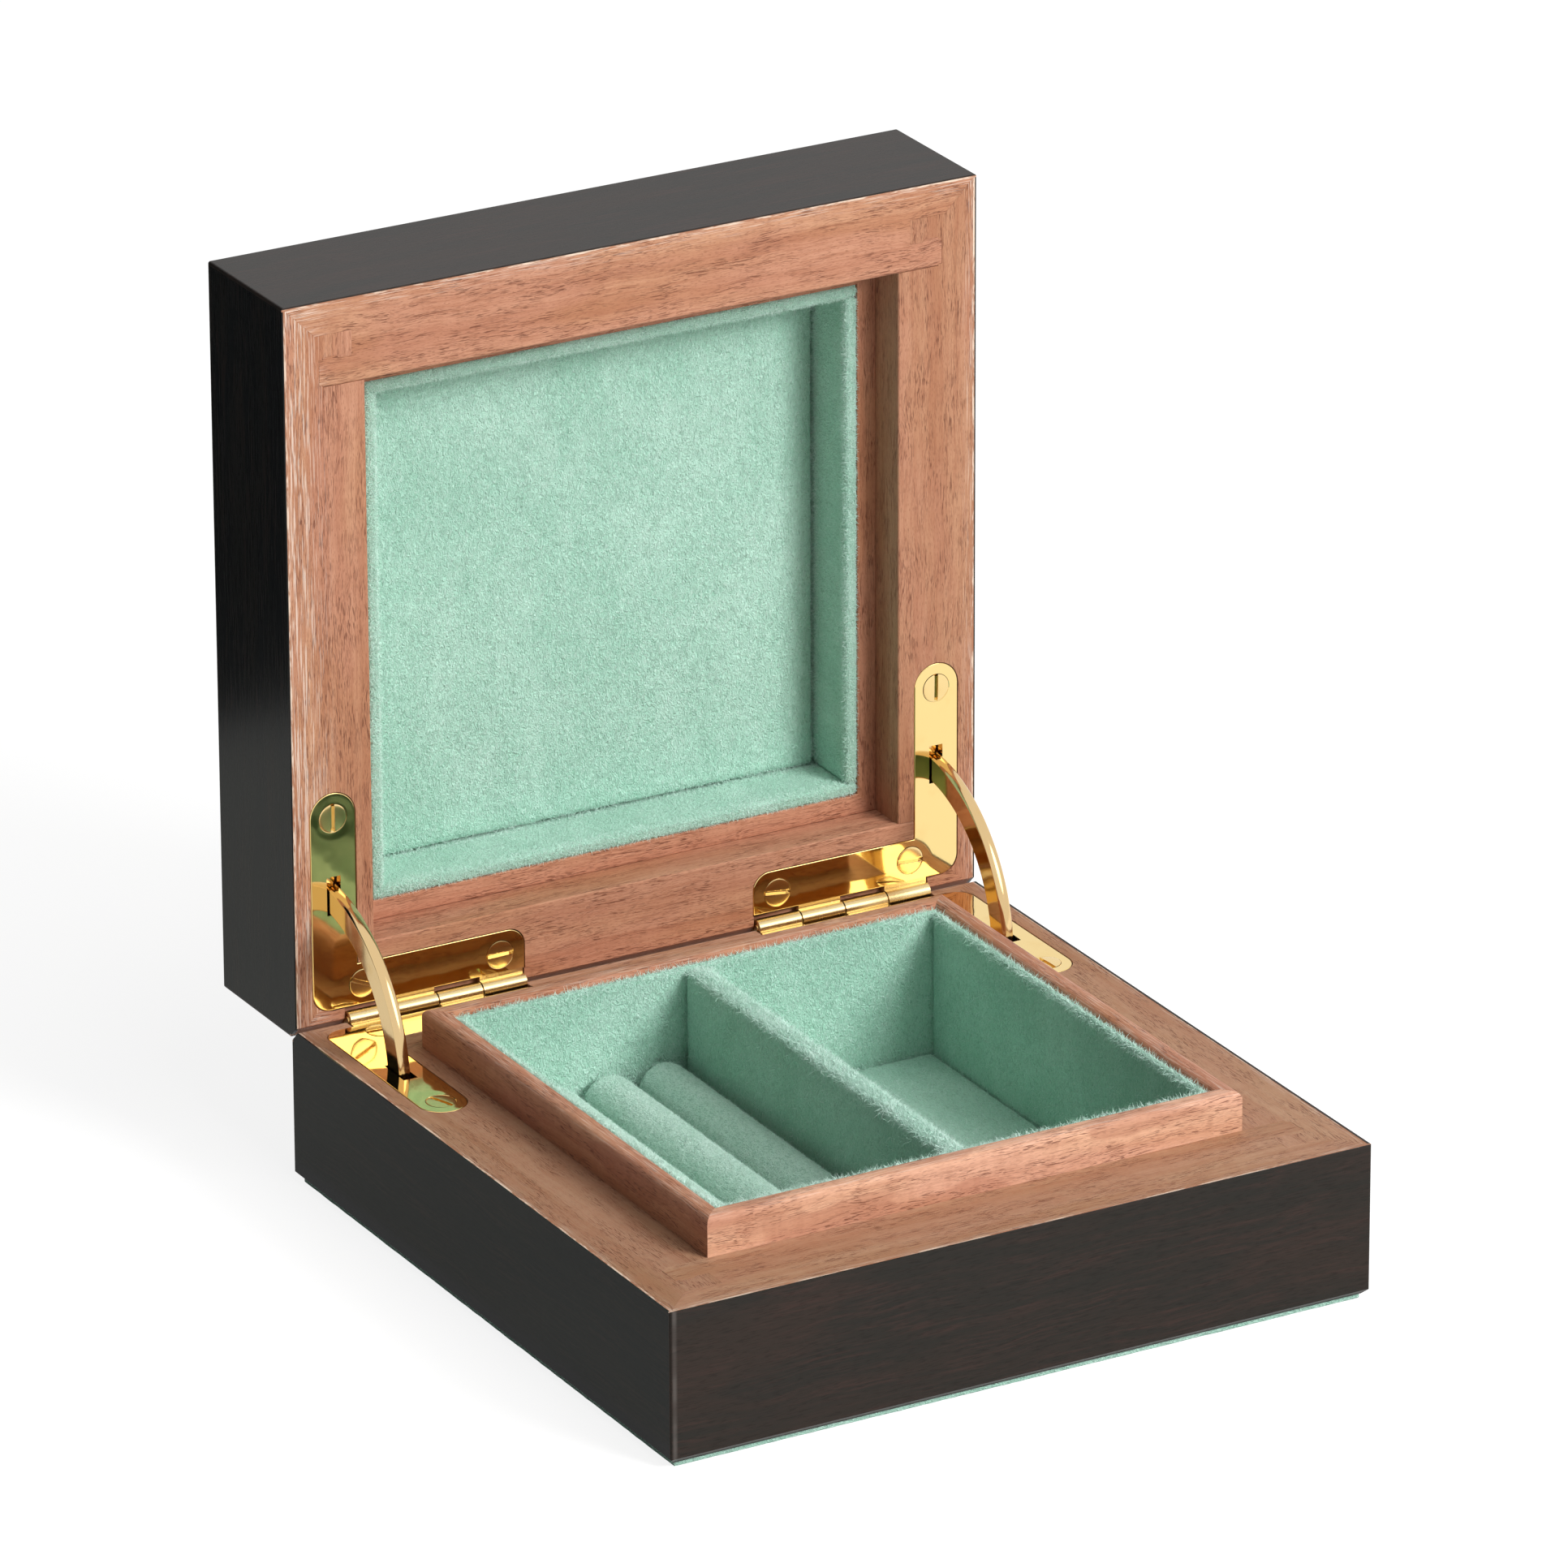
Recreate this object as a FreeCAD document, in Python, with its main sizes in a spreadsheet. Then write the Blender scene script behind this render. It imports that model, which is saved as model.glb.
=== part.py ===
import FreeCAD, Part
import Sketcher
import os
import re

# A square jewellery box for rings, standing open. A veneered mahogany base carries a raised
# lip around a suede tray with one divider and four ring rolls; a veneered lid swings on two
# brass quadrant hinges, whose curved arms stop it upright.
#
# Frame: millimetres, +Z up, the front of the box faces -Y, and the origin is the middle of
# the felt under the base. Everything on the lid is drawn with the lid shut and then turned
# about the hinge axis by the open angle.

doc = FreeCAD.newDocument("ring_box")
sheet = doc.addObject("Spreadsheet::Sheet", "Sizes")

ROLL_COUNT = 4
KNUCKLE_COUNT = 4

DRIVING_SIZES = [
    # the box
    ("box_width", "151.2"), ("box_depth", "150"), ("base_height", "31"), ("lid_height", "30.6"),
    ("wall", "17.4"), ("veneer", "0.7"), ("corner_round", "0.5"), ("foot_chamfer", "1.2"),
    ("rim_gap", "0.5"), ("rear_chamfer", "2.5"), ("open_angle", "90"),
    ("felt_thickness", "1"), ("felt_inset", "1.4"),
    # lock mitre at each corner, measured from the corner of the box
    ("mitre_length", "7"), ("key_near", "8.5"), ("key_far", "14.7"), ("key_back", "11.4"),
    # panels let into rebates in the walls
    ("bottom_panel", "4"), ("lid_panel", "4"), ("panel_rebate", "6"),
    # lip around the tray, which the lid closes over
    ("lip_rise", "8"), ("lip_thickness", "4.4"), ("lip_round", "1.6"),
    ("lip_clearance", "0.4"), ("lip_rear_clearance", "2.8"),
    # suede tray
    ("lining", "1.4"), ("lining_drop", "1.5"), ("divider_thickness", "5"),
    ("divider_centre", "-1"), ("divider_drop", "1.4"), ("floor_thickness", "4.4"),
    ("roll_rise", "12.2"), ("roll_gap", "0.5"), ("soft_gap", "0.3"),
    # ledge, suede strips and pad in the lid
    ("ledge_drop", "8.6"), ("ledge_width", "4.2"), ("edge_ease", "0.4"),
    ("strip_thickness", "2.5"), ("strip_depth", "12.2"),
    # how far a cutter runs past the face that it opens
    ("cut_past", "1"),
    # quadrant hinges
    ("axis_inset", "2.1"), ("leaf_thickness", "1.8"), ("leaf_side_gap", "3.9"),
    ("leg_width", "9.8"), ("side_leg_reach", "47.7"), ("rear_leg_length", "46.2"),
    ("rear_leg_reach", "11.3"), ("leaf_back", "2.6"), ("heel_radius", "4"), ("toe_radius", "3.7"),
    ("toe_flat", "0.1"), ("leaf_ease", "0.25"), ("barrel_radius", "1.8"),
    ("barrel_side_gap", "10.9"), ("barrel_toe_gap", "0.3"), ("strap_overlap", "0.5"),
    ("knuckle_play", "0.3"), ("pin_radius", "0.8"), ("pin_play", "0.04"),
    ("mortise_play", "0.12"), ("barrel_play", "0.2"),
    # screws in the leaves
    ("head_radius", "2.9"), ("shank_radius", "1.2"), ("screw_length", "12"),
    ("slot_width", "0.8"), ("slot_depth", "0.6"), ("head_play", "0.1"),
    ("side_screw_inset", "5.2"), ("heel_inset", "10.8"), ("heel_reach", "7"),
    ("toe_screw_inset", "5.4"), ("toe_screw_reach", "6.5"),
    # curved arms: their circle is centred behind and below the hinge axis, and as the lid
    # shuts they turn about a point a little in front of and below that axis
    ("arm_inner", "27.6"), ("arm_outer", "33"), ("arm_thickness", "2.4"), ("arm_offset", "6.1"),
    ("arm_ease", "0.3"), ("pivot_forward", "0.9"), ("pivot_drop", "2.1"), ("slot_play", "0.3"),
    ("slot_near_play", "0.5"), ("slot_far_play", "2"), ("hook_height", "3"), ("hook_angle", "3"),
    ("hook_play", "0.2"), ("pocket_play", "0.5"),
]

DERIVED_SIZES = [
    ("rim_z", "felt_thickness + base_height"),
    ("lid_rim_z", "rim_z + rim_gap"),
    ("lid_top_z", "lid_rim_z + lid_height"),
    ("axis_y", "box_depth / 2 - axis_inset"),
    ("axis_z", "rim_z + rim_gap / 2"),
    # a point turned about the hinge axis by the open angle also moves by this much
    ("lid_shift_y", "axis_y - axis_y * cos(open_angle) - axis_z * sin(open_angle)"),
    ("lid_shift_z", "axis_z + axis_y * sin(open_angle) - axis_z * cos(open_angle)"),
    ("core_x", "box_width / 2 - veneer"),
    ("core_y", "box_depth / 2 - veneer"),
    ("base_wall", "wall + lip_clearance"),
    ("base_rear_wall", "wall + lip_rear_clearance"),
    ("lip_x", "box_width / 2 - base_wall"),
    ("lip_front_y", "base_wall - box_depth / 2"),
    ("lip_rear_y", "box_depth / 2 - base_rear_wall"),
    ("lip_top_z", "rim_z + lip_rise"),
    ("panel_top_z", "felt_thickness + bottom_panel"),
    ("floor_z", "panel_top_z + floor_thickness"),
    ("board_x", "lip_x - lip_thickness"),
    ("board_front_y", "lip_front_y + lip_thickness"),
    ("board_rear_y", "lip_rear_y - lip_thickness"),
    ("tray_x", "board_x - lining"),
    ("tray_front_y", "board_front_y + lining"),
    ("tray_rear_y", "board_rear_y - lining"),
    ("divider_left", "divider_centre - divider_thickness / 2"),
    ("divider_right", "divider_centre + divider_thickness / 2"),
    ("opening_x", "box_width / 2 - wall"),
    ("opening_y", "box_depth / 2 - wall"),
    ("ledge_z", "lid_rim_z + ledge_drop"),
    ("lid_panel_z", "lid_top_z - veneer - lid_panel"),
    ("strip_x", "opening_x - ledge_width"),
    ("strip_y", "opening_y - ledge_width"),
    ("well_x", "strip_x - strip_thickness"),
    ("well_y", "strip_y - strip_thickness"),
    ("pad_z", "ledge_z + strip_depth"),
    ("leaf_outer_x", "box_width / 2 - leaf_side_gap"),
    ("leg_inner_x", "leaf_outer_x - leg_width"),
    ("leaf_toe_x", "leaf_outer_x - rear_leg_length"),
    ("arm_x", "leaf_outer_x - leg_width / 2"),
    ("barrel_x", "box_width / 2 - barrel_side_gap"),
    ("barrel_length", "barrel_x - leaf_toe_x - barrel_toe_gap"),
    ("knuckle_length", "barrel_length / %d" % KNUCKLE_COUNT),
    ("arm_turn", "open_angle / 2"),
    ("arm_back", "arm_offset * cos(arm_turn)"),
    ("arm_drop", "arm_offset * sin(arm_turn)"),
    ("hook_outer", "arm_outer + hook_height"),
    ("leaf_depth", "rim_gap / 2 + leaf_thickness"),
    # angles of the hook and of the arm's end, up from the level of the arm's centre
    ("hook_start", "asin((arm_drop - leaf_depth - hook_play) / hook_outer) / 1 deg"),
    ("arm_tail", "hook_start - hook_angle"),
    # where the end of the arm lies with the lid open, from the hinge axis
    ("tail_inner", "arm_inner - arm_back"),
    ("tail_outer", "hook_outer - arm_back"),
    ("tail_drop", "arm_drop - hook_outer * sin(arm_tail)"),
    ("slot_near", "sqrt(arm_inner ^ 2 - arm_drop ^ 2) - arm_back - slot_near_play"),
    ("slot_far", "sqrt(arm_outer ^ 2 - arm_drop ^ 2) - arm_back + slot_far_play"),
    # the pocket holds the end of the arm once it has turned with the lid
    ("tail_swing", "(tail_outer - pivot_forward) * sin(arm_turn)"),
    ("pocket_depth", "pivot_drop + tail_swing + (tail_drop - pivot_drop) * cos(arm_turn) + pocket_play"),
    ("tail_shut", "(tail_inner - pivot_forward) * cos(arm_turn)"),
    ("pocket_near", "pivot_forward + tail_shut - (tail_drop - pivot_drop) * sin(arm_turn) - pocket_play"),
    ("pocket_far", "tail_outer + pocket_play"),
]

SAME_PLACE = 1e-4                    # two coordinates this close are the same one
SCREW_TURNS = {                      # how far each slot happened to be driven, in degrees
    "left_base": (100, -4, 95), "right_base": (93, 20, 80),
    "left_lid": (90, 25, -2), "right_lid": (90, 4, 6),
}

for row, (alias, content) in enumerate(DRIVING_SIZES + DERIVED_SIZES, start=1):
    is_derived = row > len(DRIVING_SIZES)
    sheet.set("A%d" % row, alias)
    sheet.setAlias("B%d" % row, alias)
    sheet.set("B%d" % row, "=" + content if is_derived else content)
doc.recompute()

ALIASES = {alias for alias, content in DRIVING_SIZES + DERIVED_SIZES}
SUB_PARTS = []


# ---------------------------------------------------------------- small building blocks

def on_sheet(text):
    """The same formula with every alias written as a reference to the sheet."""
    return re.sub("[a-z_]+", lambda word: "Sizes." + word[0] if word[0] in ALIASES else word[0], text)


def number(text):
    """What a formula comes to now, in millimetres or degrees."""
    result = sheet.evalExpression(on_sheet(text))
    return float(getattr(result, "Value", result))


def bind(feature, bindings):
    """Tie properties of a feature to formulas on the sheet."""
    for path, text in bindings.items():
        feature.setExpression(path, on_sheet(text))
    return feature


def box(name, x, y, z):
    """A box between pairs of formulas, (low, high), along each axis."""
    return bind(doc.addObject("Part::Box", name), {
        "Length": "(%s) - (%s)" % (x[1], x[0]),
        "Width": "(%s) - (%s)" % (y[1], y[0]),
        "Height": "(%s) - (%s)" % (z[1], z[0]),
        "Placement.Base.x": x[0], "Placement.Base.y": y[0], "Placement.Base.z": z[0]})


def rod(name, radius, length, start, axis="z", angle="360", turn="0"):
    """A cylinder or a sector of one, from its start point along an axis."""
    rod_object = doc.addObject("Part::Cylinder", name)
    if axis == "x":
        # the sector opens from the -Y side and grows towards -Z
        lying = FreeCAD.Rotation(FreeCAD.Vector(0, -1, 0), FreeCAD.Vector(0, 0, -1),
                                 FreeCAD.Vector(1, 0, 0), "XYZ")
        spin = FreeCAD.Rotation(FreeCAD.Vector(1, 0, 0), number(turn))
        rod_object.Placement = FreeCAD.Placement(FreeCAD.Vector(), spin * lying)
    return bind(rod_object, {
        "Radius": radius, "Height": length, "Angle": angle, "Placement.Base.x": start[0],
        "Placement.Base.y": start[1], "Placement.Base.z": start[2]})


def fuse(name, shapes):
    fused = doc.addObject("Part::MultiFuse", name)
    fused.Shapes = shapes
    return fused


def combine(kind, name, base, tool):
    """A Part::Cut or a Part::Common of two features."""
    result = doc.addObject(kind, name)
    result.Base = base
    result.Tool = tool
    return result


def mirrored(name, source):
    """The same feature on the other side of the YZ plane."""
    mirror = doc.addObject("Part::Mirroring", name)
    mirror.Source = source
    mirror.Normal = FreeCAD.Vector(1, 0, 0)
    return mirror


def prism(name, outline, z):
    """A body padded from a closed outline of (x, y) formulas, between two heights."""
    body = doc.addObject("PartDesign::Body", name)
    plane = [f for f in body.Origin.OriginFeatures if f.Role == "XY_Plane"][0]
    sketch = body.newObject("Sketcher::SketchObject", name + "_outline")
    sketch.AttachmentSupport = (plane, [""])
    sketch.MapMode = "FlatFace"
    corners = [FreeCAD.Vector(number(x), number(y), 0) for x, y in outline]
    for index, corner in enumerate(corners):
        sketch.addGeometry(Part.LineSegment(corner, corners[(index + 1) % len(corners)]))
    for index, (x, y) in enumerate(outline):
        following = (index + 1) % len(outline)
        sketch.addConstraint(Sketcher.Constraint("Coincident", index, 2, following, 1))
        for kind, text in (("DistanceX", x), ("DistanceY", y)):
            place = sketch.addConstraint(Sketcher.Constraint(kind, -1, 1, index, 1, number(text)))
            sketch.setExpression("Constraints[%d]" % place, on_sheet(text))
    bind(sketch, {"AttachmentOffset.Base.z": z[0]})
    pad = body.newObject("PartDesign::Pad", name + "_pad")
    pad.Profile = sketch
    bind(pad, {"Length": "(%s) - (%s)" % (z[1], z[0])})
    doc.recompute()
    return body


def rectangle(x, y):
    return [(x[0], y[0]), (x[1], y[0]), (x[1], y[1]), (x[0], y[1])]


def ease(body, kind, size, wanted):
    """Round or chamfer the edges of a body whose middle point passes a test."""
    base = body.Tip
    names = ["Edge%d" % i for i, edge in enumerate(base.Shape.Edges, start=1)
             if wanted(edge.BoundBox.Center, edge.BoundBox)]
    eased = body.newObject("PartDesign::" + kind, "%s_%s_%d" % (body.Name, kind.lower(), len(body.Group)))
    eased.Base = (base, names)
    bind(eased, {"Radius" if kind == "Fillet" else "Size": size})
    body.Tip = eased
    doc.recompute()
    return body


def near(coordinate, text):
    return abs(coordinate - number(text)) < SAME_PLACE


def upright(bounds):
    """Whether an edge with these bounds is a straight edge along Z."""
    return bounds.XLength < SAME_PLACE and bounds.YLength < SAME_PLACE


def sub_part(name, feature, on_lid=False):
    """Label a finished piece, and turn it with the lid if it belongs to the lid."""
    feature.Label = name
    if on_lid:
        feature.Placement = FreeCAD.Placement(
            FreeCAD.Vector(), FreeCAD.Rotation(FreeCAD.Vector(1, 0, 0), -number("open_angle")))
        bind(feature, {"Placement.Base.y": "lid_shift_y", "Placement.Base.z": "lid_shift_z"})
    SUB_PARTS.append(feature)
    return feature


# ------------------------------------------------------------ outer forms of base and lid

def envelope(name, z, foot):
    """The outside of the base or the lid: the rear edge of the rim chamfered to clear the
    other half when the lid is open, the far edges chamfered or rounded, the corners rounded."""
    half_x, half_y = "box_width / 2", "box_depth / 2"
    body = prism(name, rectangle(("-" + half_x, half_x), ("-" + half_y, half_y)), z)
    rim, face = (z[1], z[0]) if foot else (z[0], z[1])
    ease(body, "Chamfer", "rear_chamfer", lambda c, b: near(c.z, rim) and near(c.y, half_y))
    if foot:
        ease(body, "Chamfer", "foot_chamfer", lambda c, b: near(c.z, face))
        ease(body, "Fillet", "corner_round", lambda c, b: upright(b))
    else:
        ease(body, "Fillet", "corner_round", lambda c, b: near(c.z, face) or upright(b))
    return body


base_form = envelope("base_form", ("felt_thickness", "rim_z"), foot=True)
lid_form = envelope("lid_form", ("lid_rim_z", "lid_top_z"), foot=False)


# ------------------------------------------------------------------------ hinge cutters

def leaf_outline(play):
    """The L of the left leaf seen from above, grown by a play all round."""
    outer, inner = "-leaf_outer_x - %s" % play, "-leg_inner_x + %s" % play
    toe = "-leaf_toe_x + %s" % play
    back, front = "axis_y - leaf_back + %s" % play, "axis_y - side_leg_reach - %s" % play
    reach = "axis_y - rear_leg_reach - %s" % play
    return [(outer, front), (inner, front), (inner, reach), (toe, reach), (toe, back), (outer, back)]


def leaf_plate(name, play, z):
    """The left leaf as a plate: round toe on the side leg, rounded heel and rear toe."""
    body = prism(name, leaf_outline(play), z)
    front = "axis_y - side_leg_reach - %s" % play
    heel = ("-leaf_outer_x - %s" % play, "axis_y - leaf_back + %s" % play)
    toe = ("-leaf_toe_x + %s" % play, "axis_y - rear_leg_reach - %s" % play)
    ease(body, "Fillet", "(leg_width - toe_flat) / 2 + %s" % play,
         lambda c, b: upright(b) and near(c.y, front))
    ease(body, "Fillet", "heel_radius",
         lambda c, b: upright(b) and near(c.x, heel[0]) and near(c.y, heel[1]))
    ease(body, "Fillet", "toe_radius",
         lambda c, b: upright(b) and near(c.x, toe[0]) and near(c.y, toe[1]))
    return body


def screw_places():
    """(x, y) formulas of the three screws of a left leaf: on the side leg's toe, at the heel
    and on the rear leg's toe."""
    return [("-arm_x", "axis_y - side_leg_reach + side_screw_inset"),
            ("-leaf_outer_x + heel_inset", "axis_y - heel_reach"),
            ("-leaf_toe_x - toe_screw_inset", "axis_y - toe_screw_reach")]


def hinge_cutter(name, half):
    """What is cut from the wood for one left leaf: its mortise, the notch for the barrel, the
    pocket that takes the end of the arm, and a pilot hole for each screw."""
    if half == "base":
        leaf_z = ("rim_z - leaf_thickness", "rim_z + cut_past")
        notch_z = ("axis_z - barrel_radius - barrel_play", "rim_z + cut_past")
        pocket_z = ("axis_z - pocket_depth", "rim_z")
        pilot_z = "rim_z - leaf_thickness - screw_length"
    else:
        leaf_z = ("lid_rim_z - cut_past", "lid_rim_z + leaf_thickness")
        notch_z = ("lid_rim_z - cut_past", "axis_z + barrel_radius + barrel_play")
        pocket_z = ("lid_rim_z", "axis_z + pocket_depth")
        pilot_z = "lid_rim_z"
    notch = box(name + "_notch",
                ("-barrel_x - barrel_play", "-barrel_x + barrel_length + barrel_play"),
                ("axis_y - leaf_back", "box_depth / 2 + cut_past"), notch_z)
    pocket = box(name + "_pocket",
                 ("-arm_x - arm_thickness / 2 - pocket_play", "-arm_x + arm_thickness / 2 + pocket_play"),
                 ("axis_y - pocket_far", "axis_y - pocket_near"), pocket_z)
    pilots = [rod("%s_pilot_%d" % (name, i), "shank_radius + pin_play", "screw_length + leaf_thickness",
                  (x, y, pilot_z)) for i, (x, y) in enumerate(screw_places())]
    return fuse(name, [leaf_plate(name + "_mortise", "mortise_play", leaf_z), notch, pocket] + pilots)


cutters = {}
for half in ("base", "lid"):
    left_cutter = hinge_cutter("cutter_left_" + half, half)
    cutters[half] = fuse("cutters_" + half, [left_cutter, mirrored("cutter_right_" + half, left_cutter)])


# ------------------------------------------------------------------------------- walls

def corner_joint(side, end, thickness):
    """The lock mitre at one corner, from the outer corner to the inner one: a short mitre,
    then the key of the side wall held in the groove of the front or rear wall."""
    steps = [("veneer", "veneer"), ("mitre_length", "mitre_length"), ("key_far", "mitre_length"),
             ("key_far", "key_back"), ("key_near", "key_back"), ("key_near", thickness)]
    return [("%d * (box_width / 2 - %s)" % (side, in_from_side),
             "%d * (box_depth / 2 - %s)" % (end, in_from_end)) for in_from_side, in_from_end in steps]


def end_wall_outline(end, thickness):
    """Front (end -1) or rear (end 1) wall, between the two lock mitres."""
    return corner_joint(-1, end, thickness) + corner_joint(1, end, thickness)[::-1]


def side_wall_outline(side, side_thickness, front_thickness, rear_thickness):
    """Left (side -1) or right (side 1) wall, with its inner face between the two joints."""
    inner_x = "%d * (box_width / 2 - %s)" % (side, side_thickness)
    inner_face = [(inner_x, "%s - box_depth / 2" % front_thickness),
                  (inner_x, "box_depth / 2 - %s" % rear_thickness)]
    return (corner_joint(side, -1, front_thickness) + inner_face
            + corner_joint(side, 1, rear_thickness)[::-1])


def walls(half, form, z, thickness, rebate):
    """Four solid mahogany walls with the rebate for the panel and the hinge mortises."""
    side, front, rear = thickness
    outlines = {"front": end_wall_outline(-1, front), "back": end_wall_outline(1, rear),
                "left": side_wall_outline(-1, side, front, rear),
                "right": side_wall_outline(1, side, front, rear)}
    for place, outline in outlines.items():
        name = "%s_wall_%s" % (half, place)
        blank = prism(name + "_blank", outline, z)
        if half == "lid":
            inner = {"front": ("y", "-opening_y"), "back": ("y", "opening_y"),
                     "left": ("x", "-opening_x"), "right": ("x", "opening_x")}[place]
            ease(blank, "Fillet", "edge_ease",
                 lambda c, b: near(c.z, z[0]) and near(getattr(c, inner[0]), inner[1])
                 and b.XLength + b.YLength > number("opening_x"))
        shaped = combine("Part::Common", name + "_shaped", form, blank)
        rebated = combine("Part::Cut", name + "_rebated", shaped, rebate)
        sub_part(name, combine("Part::Cut", name, rebated, cutters[half]), on_lid=half == "lid")


base_rebate = box("base_rebate", ("-lip_x - panel_rebate", "lip_x + panel_rebate"),
                  ("lip_front_y - panel_rebate", "lip_rear_y + panel_rebate"),
                  ("felt_thickness", "panel_top_z"))
lid_rebate = box("lid_rebate", ("-opening_x - panel_rebate", "opening_x + panel_rebate"),
                 ("-opening_y - panel_rebate", "opening_y + panel_rebate"),
                 ("lid_panel_z", "lid_top_z - veneer"))
walls("base", base_form, ("felt_thickness", "rim_z"),
      ("base_wall", "base_wall", "base_rear_wall"), base_rebate)
walls("lid", lid_form, ("lid_rim_z", "lid_top_z - veneer"), ("wall", "wall", "wall"), lid_rebate)


# --------------------------------------------------------------------- panels and veneer

sub_part("base_bottom_panel",
         box("base_bottom_panel", ("-lip_x - panel_rebate", "lip_x + panel_rebate"),
             ("lip_front_y - panel_rebate", "lip_rear_y + panel_rebate"), ("felt_thickness", "panel_top_z")))
sub_part("lid_top_panel",
         prism("lid_top_panel", rectangle(("-opening_x - panel_rebate", "opening_x + panel_rebate"),
                                          ("-opening_y - panel_rebate", "opening_y + panel_rebate")),
               ("lid_panel_z", "lid_top_z - veneer")), on_lid=True)
sub_part("base_felt",
         box("base_felt", ("felt_inset - box_width / 2", "box_width / 2 - felt_inset"),
             ("felt_inset - box_depth / 2", "box_depth / 2 - felt_inset"), ("0", "felt_thickness")))


def veneers(half, form, z):
    """Four thin veneer faces glued to the walls, cut to the form of the base or the lid."""
    past_x, past_y = "(box_width / 2 + veneer)", "(box_depth / 2 + veneer)"
    slabs = {"front": (("-" + past_x, past_x), ("-" + past_y, "-core_y")),
             "back": (("-" + past_x, past_x), ("core_y", past_y)),
             "left": (("-" + past_x, "-core_x"), ("-core_y", "core_y")),
             "right": (("core_x", past_x), ("-core_y", "core_y"))}
    for place, (x, y) in slabs.items():
        name = "%s_veneer_%s" % (half, place)
        slab = box(name + "_slab", x, y, z)
        sub_part(name, combine("Part::Common", name, form, slab), on_lid=half == "lid")
    return past_x, past_y


veneers("base", base_form, ("felt_thickness - veneer", "rim_z + veneer"))
past_x, past_y = veneers("lid", lid_form, ("lid_rim_z - veneer", "lid_top_z - veneer"))
top_slab = box("lid_veneer_top_slab", ("-" + past_x, past_x), ("-" + past_y, past_y),
               ("lid_top_z - veneer", "lid_top_z + veneer"))
sub_part("lid_veneer_top", combine("Part::Common", "lid_veneer_top", lid_form, top_slab), on_lid=True)


# ---------------------------------------------------------------------- lip and lid ledge

def frame_of_bars(prefix, x, y_front, y_rear, z, thickness, eased, radius, on_lid=False):
    """Four bars around a rectangle: front and rear run right across, the sides stand
    between them. The edges at the eased height are rounded."""
    inner_x = "%s - %s" % (x, thickness)
    bars = {"front": (("-(%s)" % x, x), (y_front, "%s + %s" % (y_front, thickness))),
            "back": (("-(%s)" % x, x), ("%s - %s" % (y_rear, thickness), y_rear)),
            "left": (("-(%s)" % x, "-(%s)" % inner_x),
                     ("%s + %s" % (y_front, thickness), "%s - %s" % (y_rear, thickness))),
            "right": ((inner_x, x),
                      ("%s + %s" % (y_front, thickness), "%s - %s" % (y_rear, thickness)))}
    for place, (bar_x, bar_y) in bars.items():
        name = "%s_%s" % (prefix, place)
        bar = prism(name, rectangle(bar_x, bar_y), z)
        if eased:
            ease(bar, "Fillet", radius, lambda c, b: near(c.z, eased)
                 and b.XLength + b.YLength > 2 * number(thickness))
        sub_part(name, bar, on_lid)


frame_of_bars("lip", "lip_x", "lip_front_y", "lip_rear_y", ("panel_top_z", "lip_top_z"),
              "lip_thickness", "lip_top_z", "lip_round")
frame_of_bars("lid_ledge", "opening_x", "-opening_y", "opening_y", ("ledge_z", "lid_panel_z"),
              "ledge_width", "ledge_z", "edge_ease", on_lid=True)


# ------------------------------------------------------------------------- suede linings

frame_of_bars("tray_lining", "board_x", "board_front_y", "board_rear_y",
              ("panel_top_z", "lip_top_z - lining_drop"), "lining", None, None)
frame_of_bars("lid_suede", "strip_x", "-strip_y", "strip_y", ("ledge_z", "lid_panel_z"),
              "strip_thickness", None, None, on_lid=True)
sub_part("lid_pad",
         prism("lid_pad", rectangle(("-well_x + soft_gap", "well_x - soft_gap"),
                                    ("-well_y + soft_gap", "well_y - soft_gap")),
               ("pad_z", "lid_panel_z")), on_lid=True)
sub_part("tray_divider", box("tray_divider", ("divider_left", "divider_right"),
                             ("tray_front_y", "tray_rear_y"), ("panel_top_z", "lip_top_z - divider_drop")))
sub_part("tray_floor_right", box("tray_floor_right", ("divider_right + soft_gap", "tray_x - soft_gap"),
                                 ("tray_front_y + soft_gap", "tray_rear_y - soft_gap"),
                                 ("panel_top_z", "floor_z")))
sub_part("ring_roll_board", box("ring_roll_board", ("-tray_x + soft_gap", "divider_left - soft_gap"),
                                ("tray_front_y + soft_gap", "tray_rear_y - soft_gap"),
                                ("panel_top_z", "floor_z")))

ROLL_PITCH = "((divider_left + tray_x) / %d)" % ROLL_COUNT
for index in range(ROLL_COUNT):
    # a padded roll: flat on the board, with a half-round crown, and rings slip in between
    name = "ring_roll_%d" % (index + 1)
    centre = "-tray_x + %s * %.1f" % (ROLL_PITCH, index + 0.5)
    radius = "(%s - roll_gap) / 2" % ROLL_PITCH
    front, length = "tray_front_y + soft_gap", "tray_rear_y - tray_front_y - 2 * soft_gap"
    crown_z = "floor_z + roll_rise - " + radius
    crown = bind(doc.addObject("Part::Cylinder", name + "_crown"), {
        "Radius": radius, "Height": length, "Angle": "180", "Placement.Base.x": centre,
        "Placement.Base.y": "tray_rear_y - soft_gap", "Placement.Base.z": crown_z})
    crown.Placement.Rotation = FreeCAD.Rotation(FreeCAD.Vector(1, 0, 0), 90)
    foot = box(name + "_foot", ("%s - %s" % (centre, radius), "%s + %s" % (centre, radius)),
               (front, "tray_rear_y - soft_gap"), ("floor_z", crown_z))
    sub_part(name, fuse(name, [crown, foot]))


# ------------------------------------------------------------------------ quadrant hinges

def side_x(side, text):
    """A formula for the left hinge, where side is -1, or its mirror for the right."""
    return text if side < 0 else "-(%s)" % text


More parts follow.
